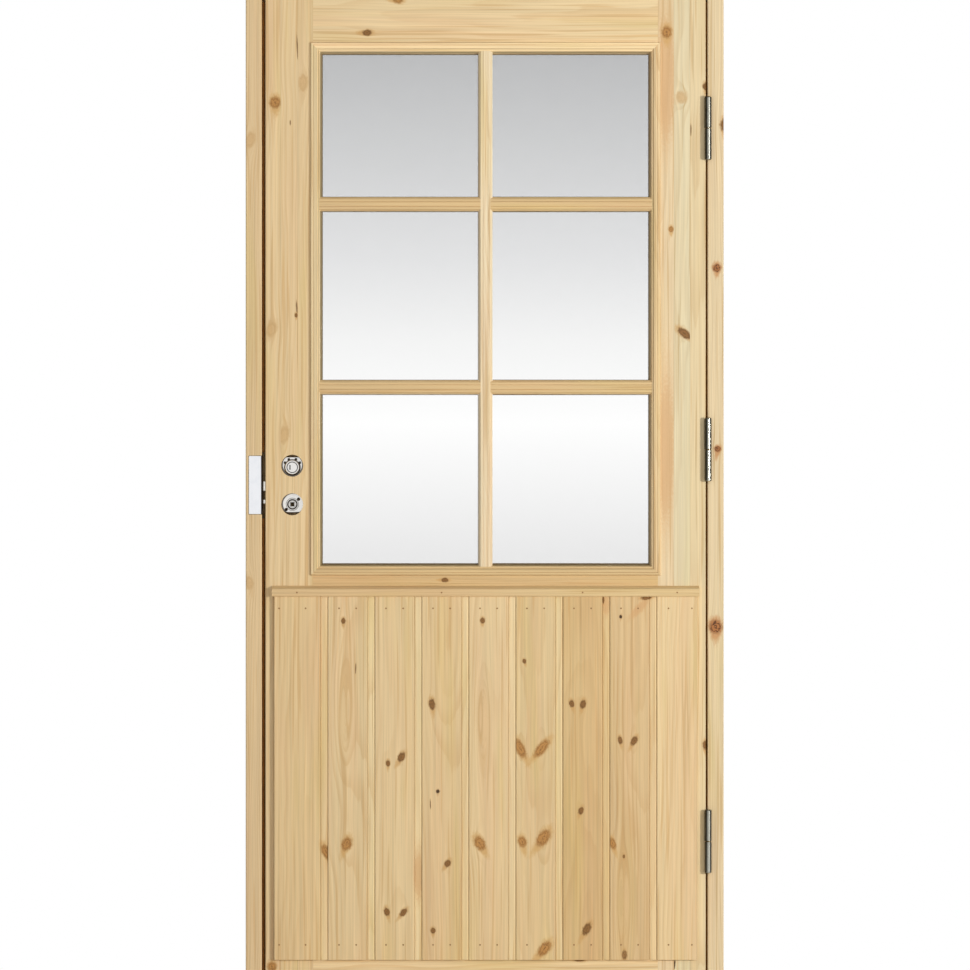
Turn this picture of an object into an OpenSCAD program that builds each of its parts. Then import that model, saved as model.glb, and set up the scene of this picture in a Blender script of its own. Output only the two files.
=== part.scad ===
// Cabin door with its frame: a half glazed, board clad pine leaf on lift-off hinges.
// Millimetres. The origin is the middle of the frame's underside, +Z is up and the
// outside, where the hinge knuckles stand, faces -Y. The hinges are at +X.

/* [Frame] */
// Overall width of the frame
frame_w = 890; // [790:10:1090]
// Overall height of the frame
frame_h = 1890; // [1790:10:2190]
// Depth of the frame from front to back
frame_d = 92; // [86:1:140]
// Thickness of the jambs and the head at the stop
jamb_t = 45; // [40:1:60]
// Width of the rebate step that the leaf closes against
rebate_w = 15; // [14:1:18]
// Height of the threshold under the leaf
threshold_h = 25; // [20:1:35]
// Fall of the threshold towards the front
threshold_fall = 4; // [2:1:8]
// Chamfer on the arrises of the joinery
arris = 1.5; // [0.5:0.5:2.5]
// Diameter of the wall fixing holes in the jambs
fixing_d = 10; // [8:1:12]
// Distance from the lock's height to the outer wall fixings
fixing_far = 740; // [650:10:760]
// Distance from the lock's height to the inner wall fixings
fixing_near = 250; // [150:10:350]

/* [Weather seal] */
// Gap between the leaf's back and the stop, which the seal fills
seal_gap = 4; // [3:0.5:6]
// Width of the seal's bulb
seal_w = 5.2; // [4:0.2:6]
// Thickness of the seal's stem
seal_stem_t = 2.4; // [2:0.2:3]
// Depth of the seal's stem in its groove
seal_stem_d = 6; // [4:0.5:9]

/* [Leaf] */
// Thickness of the leaf's stiles and rails
leaf_t = 42; // [40:1:50]
// Gap between the leaf and the strike jamb
gap_lock = 6.5; // [5:0.5:8]
// Gap between the leaf and the hinge jamb
gap_hinge = 3.5; // [3:0.5:5]
// Gap over the leaf
gap_top = 6.5; // [4:0.5:9]
// Gap under the leaf
gap_bottom = 5; // [4:0.5:8]
// Width of the stiles
stile_w = 89; // [85:1:120]
// Height of the top rail
top_rail_h = 89; // [80:1:140]
// Height of the middle rail
middle_rail_h = 89; // [80:1:140]
// Height of the bottom rail
bottom_rail_h = 89; // [80:1:160]
// Height of the clad field between the bottom and middle rails
field_h = 573.5; // [450:0.5:640]
// Diameter of the dowels in the rail joints
dowel_d = 12; // [8:1:14]
// Length of the dowels
dowel_l = 100; // [70:5:120]
// Distance between the two dowels of a joint
dowel_gap = 44; // [30:1:50]
// Thickness of the inner panel
inner_panel_t = 12; // [9:1:16]
// Lap of the inner panel in its rebate
inner_panel_lap = 12; // [8:1:16]
// Width of the V grooves in the inner panel
v_groove_w = 5; // [3:0.5:8]

/* [Cladding] */
// Thickness of the cladding boards
board_t = 9; // [8.5:0.5:12]
// Distance from the cladding's sides to the leaf's edges
clad_margin = 16; // [10:1:30]
// Distance from the cladding's foot to the leaf's foot
clad_foot = 31.5; // [20:0.5:45]
// Width of the first board with its shelf
first_board_w = 101; // [80:1:120]
// Width of the last board
last_board_w = 75; // [60:1:110]
// Width of the sunk shelf beside each board's face
shelf_w = 14.5; // [8:0.5:20]
// Drop of the shelf below the board's face
shelf_drop = 2.5; // [2:0.5:3]
// Width of the sloping riser from the shelf up to the face
riser_w = 1; // [0.5:0.1:1.5]
// Width of the quirks that are cut beside risers and lands
quirk_w = 0.9; // [0.6:0.1:1.4]
// Depth of those quirks
quirk_d = 1.1; // [0.6:0.1:1.4]
// Thickness of the tongues
tongue_t = 3; // [2.5:0.5:3]
// Reach of the tongues past the shelf
tongue_l = 7; // [5:0.5:10]
// Height of the cap strip over the boards
cap_h = 15; // [12:1:30]
// Depth of the cap strip
cap_d = 13; // [12:1:18]
// Fall of the cap strip's top towards the front
cap_fall = 5; // [2:0.5:6]
// Distance from the cap strip's ends to the leaf's edges
cap_margin = 12.5; // [10:0.5:25]
// Distance from the cap strip's top to the middle rail's top
cap_drop = 29; // [15:0.5:50]
// Diameter of the cladding nails
nail_d = 1.7; // [1.2:0.1:2.5]
// Diameter of the nail heads
nail_head_d = 3; // [2.6:0.1:4]
// Length of the cladding nails
nail_l = 22; // [18:1:23]
// Distance between the two nails across a board
nail_gap = 32; // [20:1:50]
// Distance from the upper nails to the boards' upper ends
nail_top = 22; // [15:1:40]
// Distance from the lower nails to the boards' lower ends
nail_foot = 28; // [15:1:40]

/* [Glazing] */
// Thickness of each pane
pane_t = 4; // [3:1:6]
// Width of the cavity between the panes
cavity_w = 12; // [9:1:14]
// Clearance round the glazed unit
pane_edge = 4; // [3:0.5:6]
// Height of the spacer's section
spacer_h = 7; // [6:0.5:8]
// Lap of the beads over the stiles and rails
bead_lap = 5; // [3:0.5:8]
// Reach of the beads over the glass
bead_sight = 16.5; // [15:0.5:22]
// Height of the beads over the leaf's face
bead_rise = 5; // [4:0.5:6]
// Width of the bevel on the bead's outer edge
bead_bevel = 1.8; // [1:0.1:2.5]
// Height of the square toe under that bevel
bead_toe = 0.8; // [0.4:0.1:1.5]
// Distance from the bead's outer edge to its quirk
bead_quirk = 5.5; // [4:0.1:7]
// Step from the bead's land down to its fillet
bead_step = 2.5; // [1.5:0.5:3]
// Width of that sloping step
step_w = 0.8; // [0.4:0.1:1.2]
// Width of the fillet between the bead's step and its splay
bead_fillet = 3.5; // [2:0.5:4]
// Width of the splay from the fillet down to the glass
splay_w = 5; // [4:0.5:6]
// Height of the square foot under the splay
splay_foot = 2; // [1:0.5:4]
// Width of the glazing bars
bar_w = 26; // [22:1:34]
// Distance from the bar's middle to its two quirks
bar_quirk = 4.5; // [3:0.5:5]
// Width of the bars' splays
bar_splay_w = 4; // [3:0.5:5]
// Fall of the bars' splays, over the square sides that stand on the glass
bar_splay_d = 4; // [2:0.5:6]
// Height of the top row of lights
top_light_h = 267; // [200:1:300]
// Height of the middle row of lights
middle_light_h = 315; // [250:1:350]

/* [Hinges] */
// Overall height of a hinge
hinge_h = 119; // [90:1:140]
// Diameter of the knuckles
knuckle_d = 13; // [12:0.5:15]
// Diameter of the hinge pins
pin_d = 7; // [6:0.5:8]
// Thickness of the hinge plates
plate_t = 2.5; // [2:0.5:3]
// Depth of the hinge plates in the leaf and jamb
plate_d = 28; // [24:1:34]
// Distance from the hinge axis to the leaf's face
axis_out = 7; // [7:0.5:9]
// Distance from the middle of the leaf's gap to the hinge axis
axis_side = 2.5; // [0:0.5:2.5]
// Distance from the knuckles' face in to the washers' rim
washer_in = 1.2; // [0.3:0.1:2]
// Thickness of the washers between the knuckles
washer_t = 1.4; // [1:0.2:3]
// Distance from the leaf's top to the top hinge
hinge_top = 244.5; // [150:0.5:300]
// Distance from the leaf's foot to the bottom hinge
hinge_foot = 252; // [150:1:300]
// Height of the middle hinge over the lock's height
hinge_mid = 66; // [0:1:200]

/* [Lock] */
// Height of the lock's middle
lock_z = 945; // [900:1:1020]
// Distance from the leaf's edge to the lock's holes
backset = 50; // [45:1:55]
// Distance between the two holes in the stile's front
lock_pitch = 72; // [70:1:80]
// Diameter of the two holes in the stile's front
lock_hole_d = 41; // [38:1:44]
// Diameter of the two blind holes behind the lock case
rear_hole_d = 25; // [24:1:26]
// Wood left between those holes and the leaf's back
rear_skin = 5; // [3:0.5:8]
// Room in the mortise over and under the lock case
mortise_room = 6; // [3:0.5:8]
// Width of the faceplate
faceplate_w = 20; // [18:1:24]
// Height of the faceplate
faceplate_h = 150; // [140:1:200]
// Thickness of the faceplate
faceplate_t = 3; // [2:0.5:4]
// Thickness of the lock case
case_t = 16; // [15:0.5:18]
// Wall of the lock case
case_wall = 2; // [1.5:0.5:2.5]
// Reach of the lock case past the lock's holes
case_past = 23; // [22:1:26]
// Height of the lock case over the cylinder
case_over = 18.5; // [18:0.5:22]
// Reach of the lock case under the spindle
case_under = 15; // [15:0.5:18]
// Diameter of the cylinder
cylinder_d = 27; // [25:0.5:27.5]
// Drop of the cylinder below the middle of its hole
cylinder_drop = 3; // [0:0.5:4]
// Gap in the lock case round the cylinder
cylinder_gap = 1.8; // [1:0.1:2.2]
// Radius of the crown that holds the cylinder's head
crown_r = 18.3; // [18:0.1:19]
// Thickness of the crown
crown_t = 3; // [2:0.5:5]
// Diameter of the four holes in the crown
crown_hole_d = 5.2; // [4:0.1:5.6]
// Diameter of the cylinder's plug
plug_d = 20; // [18:0.5:21]
// Depth of the cylinder's face behind the leaf's face
cylinder_sunk = 3; // [1:0.5:6]
// Diameter of the spindle hub
hub_d = 22; // [20:0.5:23]
// Side of the square spindle hole
spindle_s = 8; // [7:0.5:9]
// Distance between the handle bolts
handle_bolt_gap = 30; // [28:0.5:32]
// Diameter of the handle bolt holes
handle_bolt_d = 6.2; // [5:0.2:6.4]
// Height of the latch bolt
latch_h = 17; // [12:0.5:18]
// Distance from the lock's middle down to the latch bolt
latch_drop = 2; // [0:0.5:3]
// Width of the latch bolt
latch_w = 11; // [9:0.5:11.5]
// Reach of the bolts past the leaf's edge at rest
bolt_out = 4; // [2:0.5:4.5]
// Throw of the latch from rest into the strike
latch_throw = 8; // [6:0.5:9]
// Height of the trigger bolt
trigger_h = 6.5; // [5:0.5:8]
// Distance from the lock's middle down to the trigger bolt
trigger_drop = 31; // [29:0.5:32]
// Height of the strike plate
strike_h = 108; // [100:1:140]
// Width of the strike plate's lip on the jamb's face
strike_lip = 24; // [18:1:26]
// Depth of the strike plate's leg in the rebate
strike_leg = 36; // [34:1:38]
// Thickness of the strike plate
strike_t = 2; // [1.5:0.5:2.5]
// Gap round the strike plate's edges in the jamb
strike_gap = 0.9; // [0.4:0.1:0.9]

/* [Fits] */
// Clearance round screws, nails and dowels in their holes
hole_fit = 0.1; // [0.05:0.05:0.2]
// Clearance of sunk plates and let-in pieces
seat_fit = 0.15; // [0.1:0.05:0.3]
// Running clearance of turning pieces, on the radius
turn_fit = 0.06; // [0.03:0.01:0.08]
// Clearance of the sliding bolts
slide_fit = 0.25; // [0.15:0.05:0.4]
// Gap between pieces that pass each other
pass_gap = 0.3; // [0.2:0.1:0.5]
// Gap at the tongued joints of the boards
joint_gap = 0.4; // [0.2:0.1:0.8]

/* [Hidden] */
$fn = 48;
// Overlap that carries a cut past a face
cut = 1;

pine = [0.90, 0.79, 0.60];
pine_pale = [0.94, 0.85, 0.68];
pine_deep = [0.84, 0.70, 0.50];
oak = [0.76, 0.62, 0.44];
steel = [0.80, 0.80, 0.82];
nickel = [0.70, 0.70, 0.72];
zinc = [0.62, 0.62, 0.64];
brass = [0.80, 0.68, 0.40];
rubber = [0.20, 0.19, 0.18];
foam = [0.95, 0.95, 0.93];
glass = [0.80, 0.88, 0.90, 0.45];

// Frame: face widths, planes and the stop
half_w = frame_w / 2;
face_w = jamb_t - rebate_w;
y_front = -frame_d / 2;
y_back = frame_d / 2;
y_stop = y_front + leaf_t + seal_gap;
stop_h = threshold_h + rebate_w;
face_x = half_w - face_w;
stop_x = half_w - jamb_t;
y_fixing = (y_stop + y_back) / 2;
plug_recess_d = fixing_d + 8;
plug_recess_l = 12;

// Weather seal: centre lines on the stop's face
seal_in = seal_w / 2 + arris;
seal_x = stop_x + seal_in;
seal_top = frame_h - jamb_t + seal_in;
seal_foot = stop_h - seal_in;
seal_reach = seal_gap - pass_gap;

// Leaf: outer planes, field and glass opening
leaf_x0 = -face_x + gap_lock;
leaf_x1 = face_x - gap_hinge;
leaf_z0 = threshold_h + gap_bottom;
leaf_z1 = frame_h - face_w - gap_top;
leaf_y1 = y_front + leaf_t;
y_mid = y_front + leaf_t / 2;
open_x0 = leaf_x0 + stile_w;
open_x1 = leaf_x1 - stile_w;
mid_x = (open_x0 + open_x1) / 2;
field_z0 = leaf_z0 + bottom_rail_h;
field_z1 = field_z0 + field_h;
open_z0 = field_z1 + middle_rail_h;
open_z1 = leaf_z1 - top_rail_h;

// Cladding: boards are placed between the first and the last one
clad_x0 = leaf_x0 + clad_margin;
clad_x1 = leaf_x1 - clad_margin;
clad_z0 = leaf_z0 + clad_foot;
cap_z1 = open_z0 - cap_drop;
cap_z0 = cap_z1 - cap_h;
board_count = 9;
board_cover = (clad_x1 - clad_x0 - first_board_w - last_board_w) / (board_count - 2);
shelf_v = board_t - shelf_drop;
tongue_v0 = (shelf_v - tongue_t) / 2;
tongue_v1 = tongue_v0 + tongue_t;
edge_nail_in = 10;

// Glazing: the unit is centred in the leaf's thickness
unit_t = 2 * pane_t + cavity_w;
unit_front = y_mid - unit_t / 2;
bead_foot = unit_front - y_front - seat_fit;
fillet_top = bead_rise - bead_step;
splay_u = bead_sight - splay_w;
splay_v = splay_foot - bead_foot;
fillet_u = splay_u - bead_fillet;
bar_flat = bar_w / 2 - bar_splay_w;
bar_side_v = fillet_top - bar_splay_d;
light_top = open_z1 - bead_sight;
bar_1_z = light_top - top_light_h - bar_w / 2;
bar_2_z = bar_1_z - middle_light_h - bar_w;
block_l = 40;
block_off = (open_x1 - open_x0) / 3;

// Hinges: the axis stands in front of the hinge jamb's edge, beside the gap
hinge_x = (leaf_x1 + face_x) / 2 + axis_side;
hinge_y = y_front - axis_out;
hinge_zs = [leaf_z1 - hinge_top, lock_z + hinge_mid, leaf_z0 + hinge_foot];
knuckle_r = knuckle_d / 2;
half_joint = washer_t / 2 + 0.05;
plate_end = hinge_h / 2 - 3;
pin_low = hinge_h * 0.35;
pin_high = hinge_h * 0.39;
bore_top = pin_high + 3;
hinge_screw_zs = [hinge_h * 0.14, hinge_h * 0.40];
hinge_screw_ys = [y_front + plate_d * 0.40, y_front + plate_d * 0.66];

// Wood screws for the plates and for the frame's corners
screw_d = 4;
screw_head_d = 7.6;
screw_head_h = 2.2;
screw_l = 24;
corner_d = 5;
corner_head_d = 9.6;
corner_l = 80;

// Lock: axes and the case's box
lock_x = leaf_x0 + backset;
upper_hole_z = lock_z + lock_pitch / 2;
cylinder_z = upper_hole_z - cylinder_drop;
hub_z = lock_z - lock_pitch / 2;
case_x0 = leaf_x0 + faceplate_t;
case_x1 = lock_x + case_past;
case_z0 = hub_z - case_under;
case_z1 = cylinder_z + case_over;
case_y0 = y_mid - case_t / 2;
case_y1 = y_mid + case_t / 2;
cylinder_y = y_front + cylinder_sunk;
latch_z = lock_z - latch_drop;
trigger_z = lock_z - trigger_drop;
trigger_w = latch_w - 3;
nose_half = 3;
nose_top = hub_d / 2 + 5.5;
fork_gap = nose_half + 2.6;
fork_t = 5;
handle_bolt_r = handle_bolt_gap / 2;
handle_bolt_a = 40;
crown_hole_r = crown_r - 2.1;
crown_angles = [32, 66, 114, 148];
crown_foot = cylinder_z + crown_hole_r * sin(crown_angles[0]);
faceplate_screw_off = faceplate_h / 2 - 11;
strike_screw_off = strike_h / 2 - 9;
strike_screw_y = y_front + strike_leg / 2;
pocket_d = bolt_out + latch_throw - gap_lock + 6;

// A box between two corners
module block(x, y, z) {
    translate([x[0], y[0], z[0]])
        cube([x[1] - x[0], y[1] - y[0], z[1] - z[0]]);
}

// Outline of a rectangle with its own chamfer at each corner, from low x and y round
function chamfered(x, y, c) = concat(
    c[0] > 0 ? [[x[0], y[0] + c[0]], [x[0] + c[0], y[0]]] : [[x[0], y[0]]],
    c[1] > 0 ? [[x[1] - c[1], y[0]], [x[1], y[0] + c[1]]] : [[x[1], y[0]]],
    c[2] > 0 ? [[x[1], y[1] - c[2]], [x[1] - c[2], y[1]]] : [[x[1], y[1]]],
    c[3] > 0 ? [[x[0] + c[3], y[1]], [x[0], y[1] - c[3]]] : [[x[0], y[1]]]);

// A cylinder along X from a start point
module bar_x(x0, x1, y, z, d) {
    translate([x0, y, z])
        rotate([0, 90, 0])
            cylinder(h = x1 - x0, d = d);
}

// A cylinder along Y from a start point
module bar_y(y0, y1, x, z, d) {
    translate([x, y0, z])
        rotate([-90, 0, 0])
            cylinder(h = y1 - y0, d = d);
}

// Countersunk wood screw that points down -Z, with its head's top at the origin
module wood_screw(d, head_d, l) {
    tip = 1.5 * d;
    difference() {
        union() {
            translate([0, 0, -screw_head_h])
                cylinder(h = screw_head_h, d1 = d, d2 = head_d);
            translate([0, 0, tip - l])
                cylinder(h = l - tip - screw_head_h, d = d);
            translate([0, 0, -l])
                cylinder(h = tip, d1 = 0.8, d2 = d);
        }
        for (a = [0, 90])
            rotate([0, 0, a])
                translate([-head_d * 0.28, -head_d * 0.07, -1.2])
                    cube([head_d * 0.56, head_d * 0.14, 1.2 + cut]);
    }
}

// Hole for such a screw, with its countersink
module screw_hole(d, head_d, l) {
    translate([0, 0, -l - hole_fit])
        cylinder(h = l + hole_fit, d = d + 2 * hole_fit);
    translate([0, 0, -screw_head_h])
        cylinder(h = screw_head_h, d1 = d + 2 * hole_fit, d2 = head_d + 2 * hole_fit);
    cylinder(h = cut, d = head_d + 2 * hole_fit);
}

// Puts children on the jamb side: head outwards along -X, shank towards +X
module facing_left(x, y, z) {
    translate([x, y, z])
        rotate([0, -90, 0])
            children();
}

// Puts children on the other side: head outwards along +X, shank towards -X
module facing_right(x, y, z) {
    translate([x, y, z])
        rotate([0, 90, 0])
            children();
}

// Frame section: t runs in from the outer face, y from front to back
module jamb_section() {
    polygon([
        [0, y_front + arris], [arris, y_front],
        [face_w - arris, y_front], [face_w, y_front + arris],
        [face_w, y_stop], [jamb_t - arris, y_stop], [jamb_t, y_stop + arris],
        [jamb_t, y_back - arris], [jamb_t - arris, y_back], [0, y_back]]);
}

// Seal section: stem in its groove, bulb towards the leaf
module seal_section() {
    polygon([
        [-seal_stem_t / 2, y_stop + seal_stem_d], [-seal_stem_t / 2, y_stop],
        [-seal_w / 2, y_stop], [-seal_w * 0.42, y_stop - seal_reach * 0.65],
        [-seal_w * 0.20, y_stop - seal_reach], [seal_w * 0.20, y_stop - seal_reach],
        [seal_w * 0.42, y_stop - seal_reach * 0.65], [seal_w / 2, y_stop],
        [seal_stem_t / 2, y_stop], [seal_stem_t / 2, y_stop + seal_stem_d]]);
}

// Groove for the seal's stem, a ring round the stop
module seal_groove() {
    w = seal_stem_t / 2 + hole_fit;
    deep = y_stop + seal_stem_d + hole_fit;
    difference() {
        block([-seal_x - w, seal_x + w], [y_stop - cut, deep], [seal_foot - w, seal_top + w]);
        block([-seal_x + w, seal_x - w], [y_stop - 2 * cut, deep + cut],
            [seal_foot + w, seal_top - w]);
    }
}

// Wall fixing holes through the stop of the left jamb, with a recess for a cover plug
module fixing_holes() {
    for (off = [-fixing_far, -fixing_near, fixing_near, fixing_far]) {
        bar_x(-half_w - cut, -stop_x + cut, y_fixing, lock_z + off, fixing_d);
        bar_x(-stop_x - plug_recess_l, -stop_x + cut, y_fixing, lock_z + off, plug_recess_d);
    }
}

// Corner screw places as [y, z]
corner_spots = [
    [(y_front + y_stop) / 2, frame_h - face_w / 2],
    [y_fixing, frame_h - face_w / 2],
    [(y_front + y_stop) / 2, (threshold_h - threshold_fall) / 2],
    [y_fixing, stop_h / 2]];

module corner_screw_holes() {
    for (s = corner_spots) {
        facing_left(-half_w, s[0], s[1])
            screw_hole(corner_d, corner_head_d, corner_l);
        facing_right(half_w, s[0], s[1])
            screw_hole(corner_d, corner_head_d, corner_l);
    }
}

// Strike plate: lip on the jamb's face and leg in the rebate, grown by a clearance behind
// and round its edges, and carried past the jamb's faces where it is a cut
module strike_body(fit, edge, past) {
    z = [lock_z - strike_h / 2 - edge, lock_z + strike_h / 2 + edge];
    x = [-face_x - strike_lip - edge, -face_x + past];
    corner = 1;
    translate([0, y_front + strike_t + fit, 0])
        rotate([90, 0, 0])
            linear_extrude(strike_t + fit + past)
                polygon(chamfered(x, z, [corner, 0, 0, corner]));
    block([-face_x - strike_t - fit, -face_x + past],
        [y_front - past, y_front + strike_leg + fit], z);
}

// The bent corner of the strike plate follows the jamb's arris
module arris_cut() {
    translate([-face_x, y_front, lock_z])
        rotate([0, 0, 45])
            cube([arris * sqrt(2), arris * sqrt(2), 2 * strike_h], center = true);
}

module bolt_openings(x0, x1, fit) {
    block([x0, x1], [y_mid - latch_w / 2 - fit, y_mid + latch_w / 2 + fit],
        [latch_z - latch_h / 2 - fit, latch_z + latch_h / 2 + fit]);
    block([x0, x1], [y_mid - trigger_w / 2 - fit, y_mid + trigger_w / 2 + fit],
        [trigger_z - trigger_h / 2 - fit, trigger_z + trigger_h / 2 + fit]);
}

// Room round the bolts in the strike plate and the jamb behind it
strike_play = 1.5;

module frame_hinge_sinks() {
    for (z = hinge_zs)
        block([face_x - cut, face_x + plate_t + seat_fit],
            [y_front - cut, y_front + plate_d + seat_fit],
            [z - plate_end - seat_fit, z - half_joint + seat_fit]);
}

module leaf_hinge_sinks() {
    for (z = hinge_zs)
        block([leaf_x1 - plate_t - seat_fit, leaf_x1 + cut],
            [y_front - cut, y_front + plate_d + seat_fit],
            [z + half_joint - seat_fit, z + plate_end + seat_fit]);
}

// Places of the hinge screws: side is -1 on the frame half and 1 on the leaf half
module at_hinge_screws(side) {
    for (z = hinge_zs)
        for (i = [0, 1])
            if (side < 0)
                facing_left(face_x, hinge_screw_ys[i], z - hinge_screw_zs[i])
                    children();
            else
                facing_right(leaf_x1, hinge_screw_ys[i], z + hinge_screw_zs[i])
                    children();
}

module at_strike_screws() {
    for (s = [-1, 1])
        facing_right(-face_x, strike_screw_y, lock_z + s * strike_screw_off)
            children();
}

module at_faceplate_screws() {
    for (s = [-1, 1])
        facing_left(leaf_x0, y_mid, lock_z + s * faceplate_screw_off)
            children();
}

module strike_jamb() {
    color(pine)
        difference() {
            translate([-half_w, 0, 0])
                linear_extrude(frame_h)
                    jamb_section();
            seal_groove();
            fixing_holes();
            corner_screw_holes();
            strike_body(seat_fit, strike_gap, cut);
            bolt_openings(-face_x - strike_t - pocket_d, -face_x + cut, strike_play);
            at_strike_screws()
                screw_hole(screw_d, screw_head_d, screw_l);
        }
}

module hinge_jamb() {
    color(pine_pale)
        difference() {
            translate([half_w, 0, 0])
                mirror([1, 0, 0])
                    linear_extrude(frame_h)
                        jamb_section();
            seal_groove();
            mirror([1, 0, 0])
                fixing_holes();
            corner_screw_holes();
            frame_hinge_sinks();
            at_hinge_screws(-1)
                screw_hole(screw_d, screw_head_d, screw_l);
        }
}

// Clears the ends of a cross member where the jambs' stops stand
module stop_copes(z0, z1) {
    for (s = [0, 1])
        mirror([s, 0, 0])
            block([stop_x, half_w], [y_stop, y_back + cut], [z0, z1]);
}

module head() {
    color(pine)
        difference() {
            translate([-face_x, 0, frame_h])
                rotate([0, 90, 0])
                    linear_extrude(2 * face_x)
                        jamb_section();
            stop_copes(frame_h - jamb_t - cut, frame_h + cut);
            seal_groove();
            corner_screw_holes();
        }
}

module threshold() {
    back_slope = 14;
    color(oak)
        difference() {
            translate([-face_x, 0, 0])
                rotate([0, 90, 0])
                    linear_extrude(2 * face_x)
                        polygon([
                            [0, y_front], [-threshold_h + threshold_fall + arris, y_front],
                            [-threshold_h + threshold_fall, y_front + arris],
                            [-threshold_h, y_stop], [-stop_h + arris, y_stop],
                            [-stop_h, y_stop + arris], [-stop_h, y_back - back_slope],
                            [-threshold_h, y_back], [0, y_back]]);
            stop_copes(-cut, stop_h + cut);
            seal_groove();
            corner_screw_holes();
        }
}

module weather_seal() {
    ends = seal_w / 2;
    color(rubber)
        union() {
            for (s = [-1, 1])
                translate([s * seal_x, 0, seal_foot - seal_stem_t / 2])
                    linear_extrude(seal_top - seal_foot + seal_stem_t)
                        seal_section();
            for (z = [seal_foot, seal_top])
                translate([-seal_x - seal_stem_t / 2, 0, z])
                    rotate([0, 90, 0])
                        linear_extrude(2 * seal_x + seal_stem_t)
                            seal_section();
            for (s = [-1, 1])
                for (z = [seal_foot, seal_top])
                    block([s * seal_x - ends, s * seal_x + ends],
                        [y_stop - seal_reach * 0.65, y_stop], [z - ends, z + ends]);
        }
}

module strike_plate() {
    color(steel)
        difference() {
            strike_body(0, 0, 0);
            arris_cut();
            bolt_openings(-half_w, -face_x + cut, strike_play);
            at_strike_screws()
                screw_hole(screw_d, screw_head_d, screw_l);
        }
}

module frame_hardware_screws() {
    color(nickel) {
        at_strike_screws()
            wood_screw(screw_d, screw_head_d, screw_l);
        at_hinge_screws(-1)
            wood_screw(screw_d, screw_head_d, screw_l);
    }
}

module frame_corner_screws() {
    color(zinc)
        for (s = corner_spots) {
            facing_left(-half_w, s[0], s[1])
                wood_screw(corner_d, corner_head_d, corner_l);
            facing_right(half_w, s[0], s[1])
                wood_screw(corner_d, corner_head_d, corner_l);
        }
}

// Turned knuckle that rises from the joint to a domed tip, before its bore
module knuckle() {
    tip = hinge_h / 2;
    rotate_extrude()
        polygon([
            [0, half_joint], [knuckle_r - 0.5, half_joint], [knuckle_r, half_joint + 0.5],
            [knuckle_r, tip - 2.4], [knuckle_r * 0.93, tip - 1.3], [knuckle_r * 0.75, tip - 0.4],
            [knuckle_r * 0.5, tip], [0, tip]]);
}

// Upper half, which lifts off with the leaf
module leaf_hinge(z) {
    color(nickel)
        difference() {
            union() {
                translate([hinge_x, hinge_y, z])
                    knuckle();
                block([leaf_x1 - plate_t, leaf_x1], [hinge_y, y_front + plate_d],
                    [z + half_joint, z + plate_end]);
            }
            translate([hinge_x, hinge_y, z - cut])
                cylinder(h = bore_top + cut, d = pin_d + 2 * turn_fit);
            at_hinge_screws(1)
                screw_hole(screw_d, screw_head_d, screw_l);
        }
}

// Lower half, which stays on the frame and holds the pin
module frame_hinge(z) {
    color(nickel)
        difference() {
            union() {
                translate([hinge_x, hinge_y, z])
                    mirror([0, 0, 1])
                        knuckle();
                block([face_x, face_x + plate_t], [hinge_y, y_front + plate_d],
                    [z - plate_end, z - half_joint]);
            }
            translate([hinge_x, hinge_y, z - pin_low - hole_fit])
                cylinder(h = pin_low + 2 * cut, d = pin_d + 0.04);
            at_hinge_screws(-1)
                screw_hole(screw_d, screw_head_d, screw_l);
        }
}

module frame_hinge_top() { frame_hinge(hinge_zs[0]); }
module frame_hinge_middle() { frame_hinge(hinge_zs[1]); }
module frame_hinge_bottom() { frame_hinge(hinge_zs[2]); }
module leaf_hinge_top() { leaf_hinge(hinge_zs[0]); }
module leaf_hinge_middle() { leaf_hinge(hinge_zs[1]); }
module leaf_hinge_bottom() { leaf_hinge(hinge_zs[2]); }

module hinge_pins() {
    lead = 1.5;
    color(steel)
        for (z = hinge_zs)
            translate([hinge_x, hinge_y, z - pin_low]) {
                cylinder(h = pin_low + pin_high - lead, d = pin_d);
                translate([0, 0, pin_low + pin_high - lead])
                    cylinder(h = lead, d1 = pin_d, d2 = pin_d - 2 * lead);
            }
}

module hinge_washers() {
    color(brass)
        for (z = hinge_zs)
            translate([hinge_x, hinge_y, z - washer_t / 2])
                difference() {
                    cylinder(h = washer_t, r = knuckle_r - washer_in);
                    translate([0, 0, -cut])
                        cylinder(h = washer_t + 2 * cut, d = pin_d + 0.3);
                }
}

// Dowel places: middle heights of the three rails
rail_zs = [(leaf_z0 + field_z0) / 2, (field_z1 + open_z0) / 2, (open_z1 + leaf_z1) / 2];

module dowels(fit) {
    for (z = rail_zs)
        for (s = [-1, 1])
            for (x = [open_x0, open_x1])
                bar_x(x - dowel_l / 2 - fit, x + dowel_l / 2 + fit, y_mid,
                    z + s * dowel_gap / 2, dowel_d + 2 * fit);
}

module inner_panel_seat() {
    lap = inner_panel_lap;
    block([open_x0 - lap, open_x1 + lap], [leaf_y1 - inner_panel_t, leaf_y1 + cut],
        [field_z0 - lap, field_z1 + lap]);
}

// Left edge of a board's face, counted from 0
function board_x(i) = i == 0 ? clad_x0 : clad_x0 + first_board_w + (i - 1) * board_cover;
// Width of a board with its shelf
function board_w(i) = i == 0 ? first_board_w : i == board_count - 1 ? last_board_w : board_cover;
// Right edge of a board's face
function face_end(i) = board_x(i) + board_w(i) - (i == board_count - 1 ? 0 : shelf_w);
// Middle of a board's face
function face_mid(i) = (board_x(i) + face_end(i)) / 2;
// The two nails across a board, near the outer edge on the first and last one
function board_nails(i) = [
    i == 0 ? board_x(i) + edge_nail_in : face_mid(i) - nail_gap / 2,
    i == board_count - 1 ? face_end(i) - edge_nail_in : face_mid(i) + nail_gap / 2];

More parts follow.
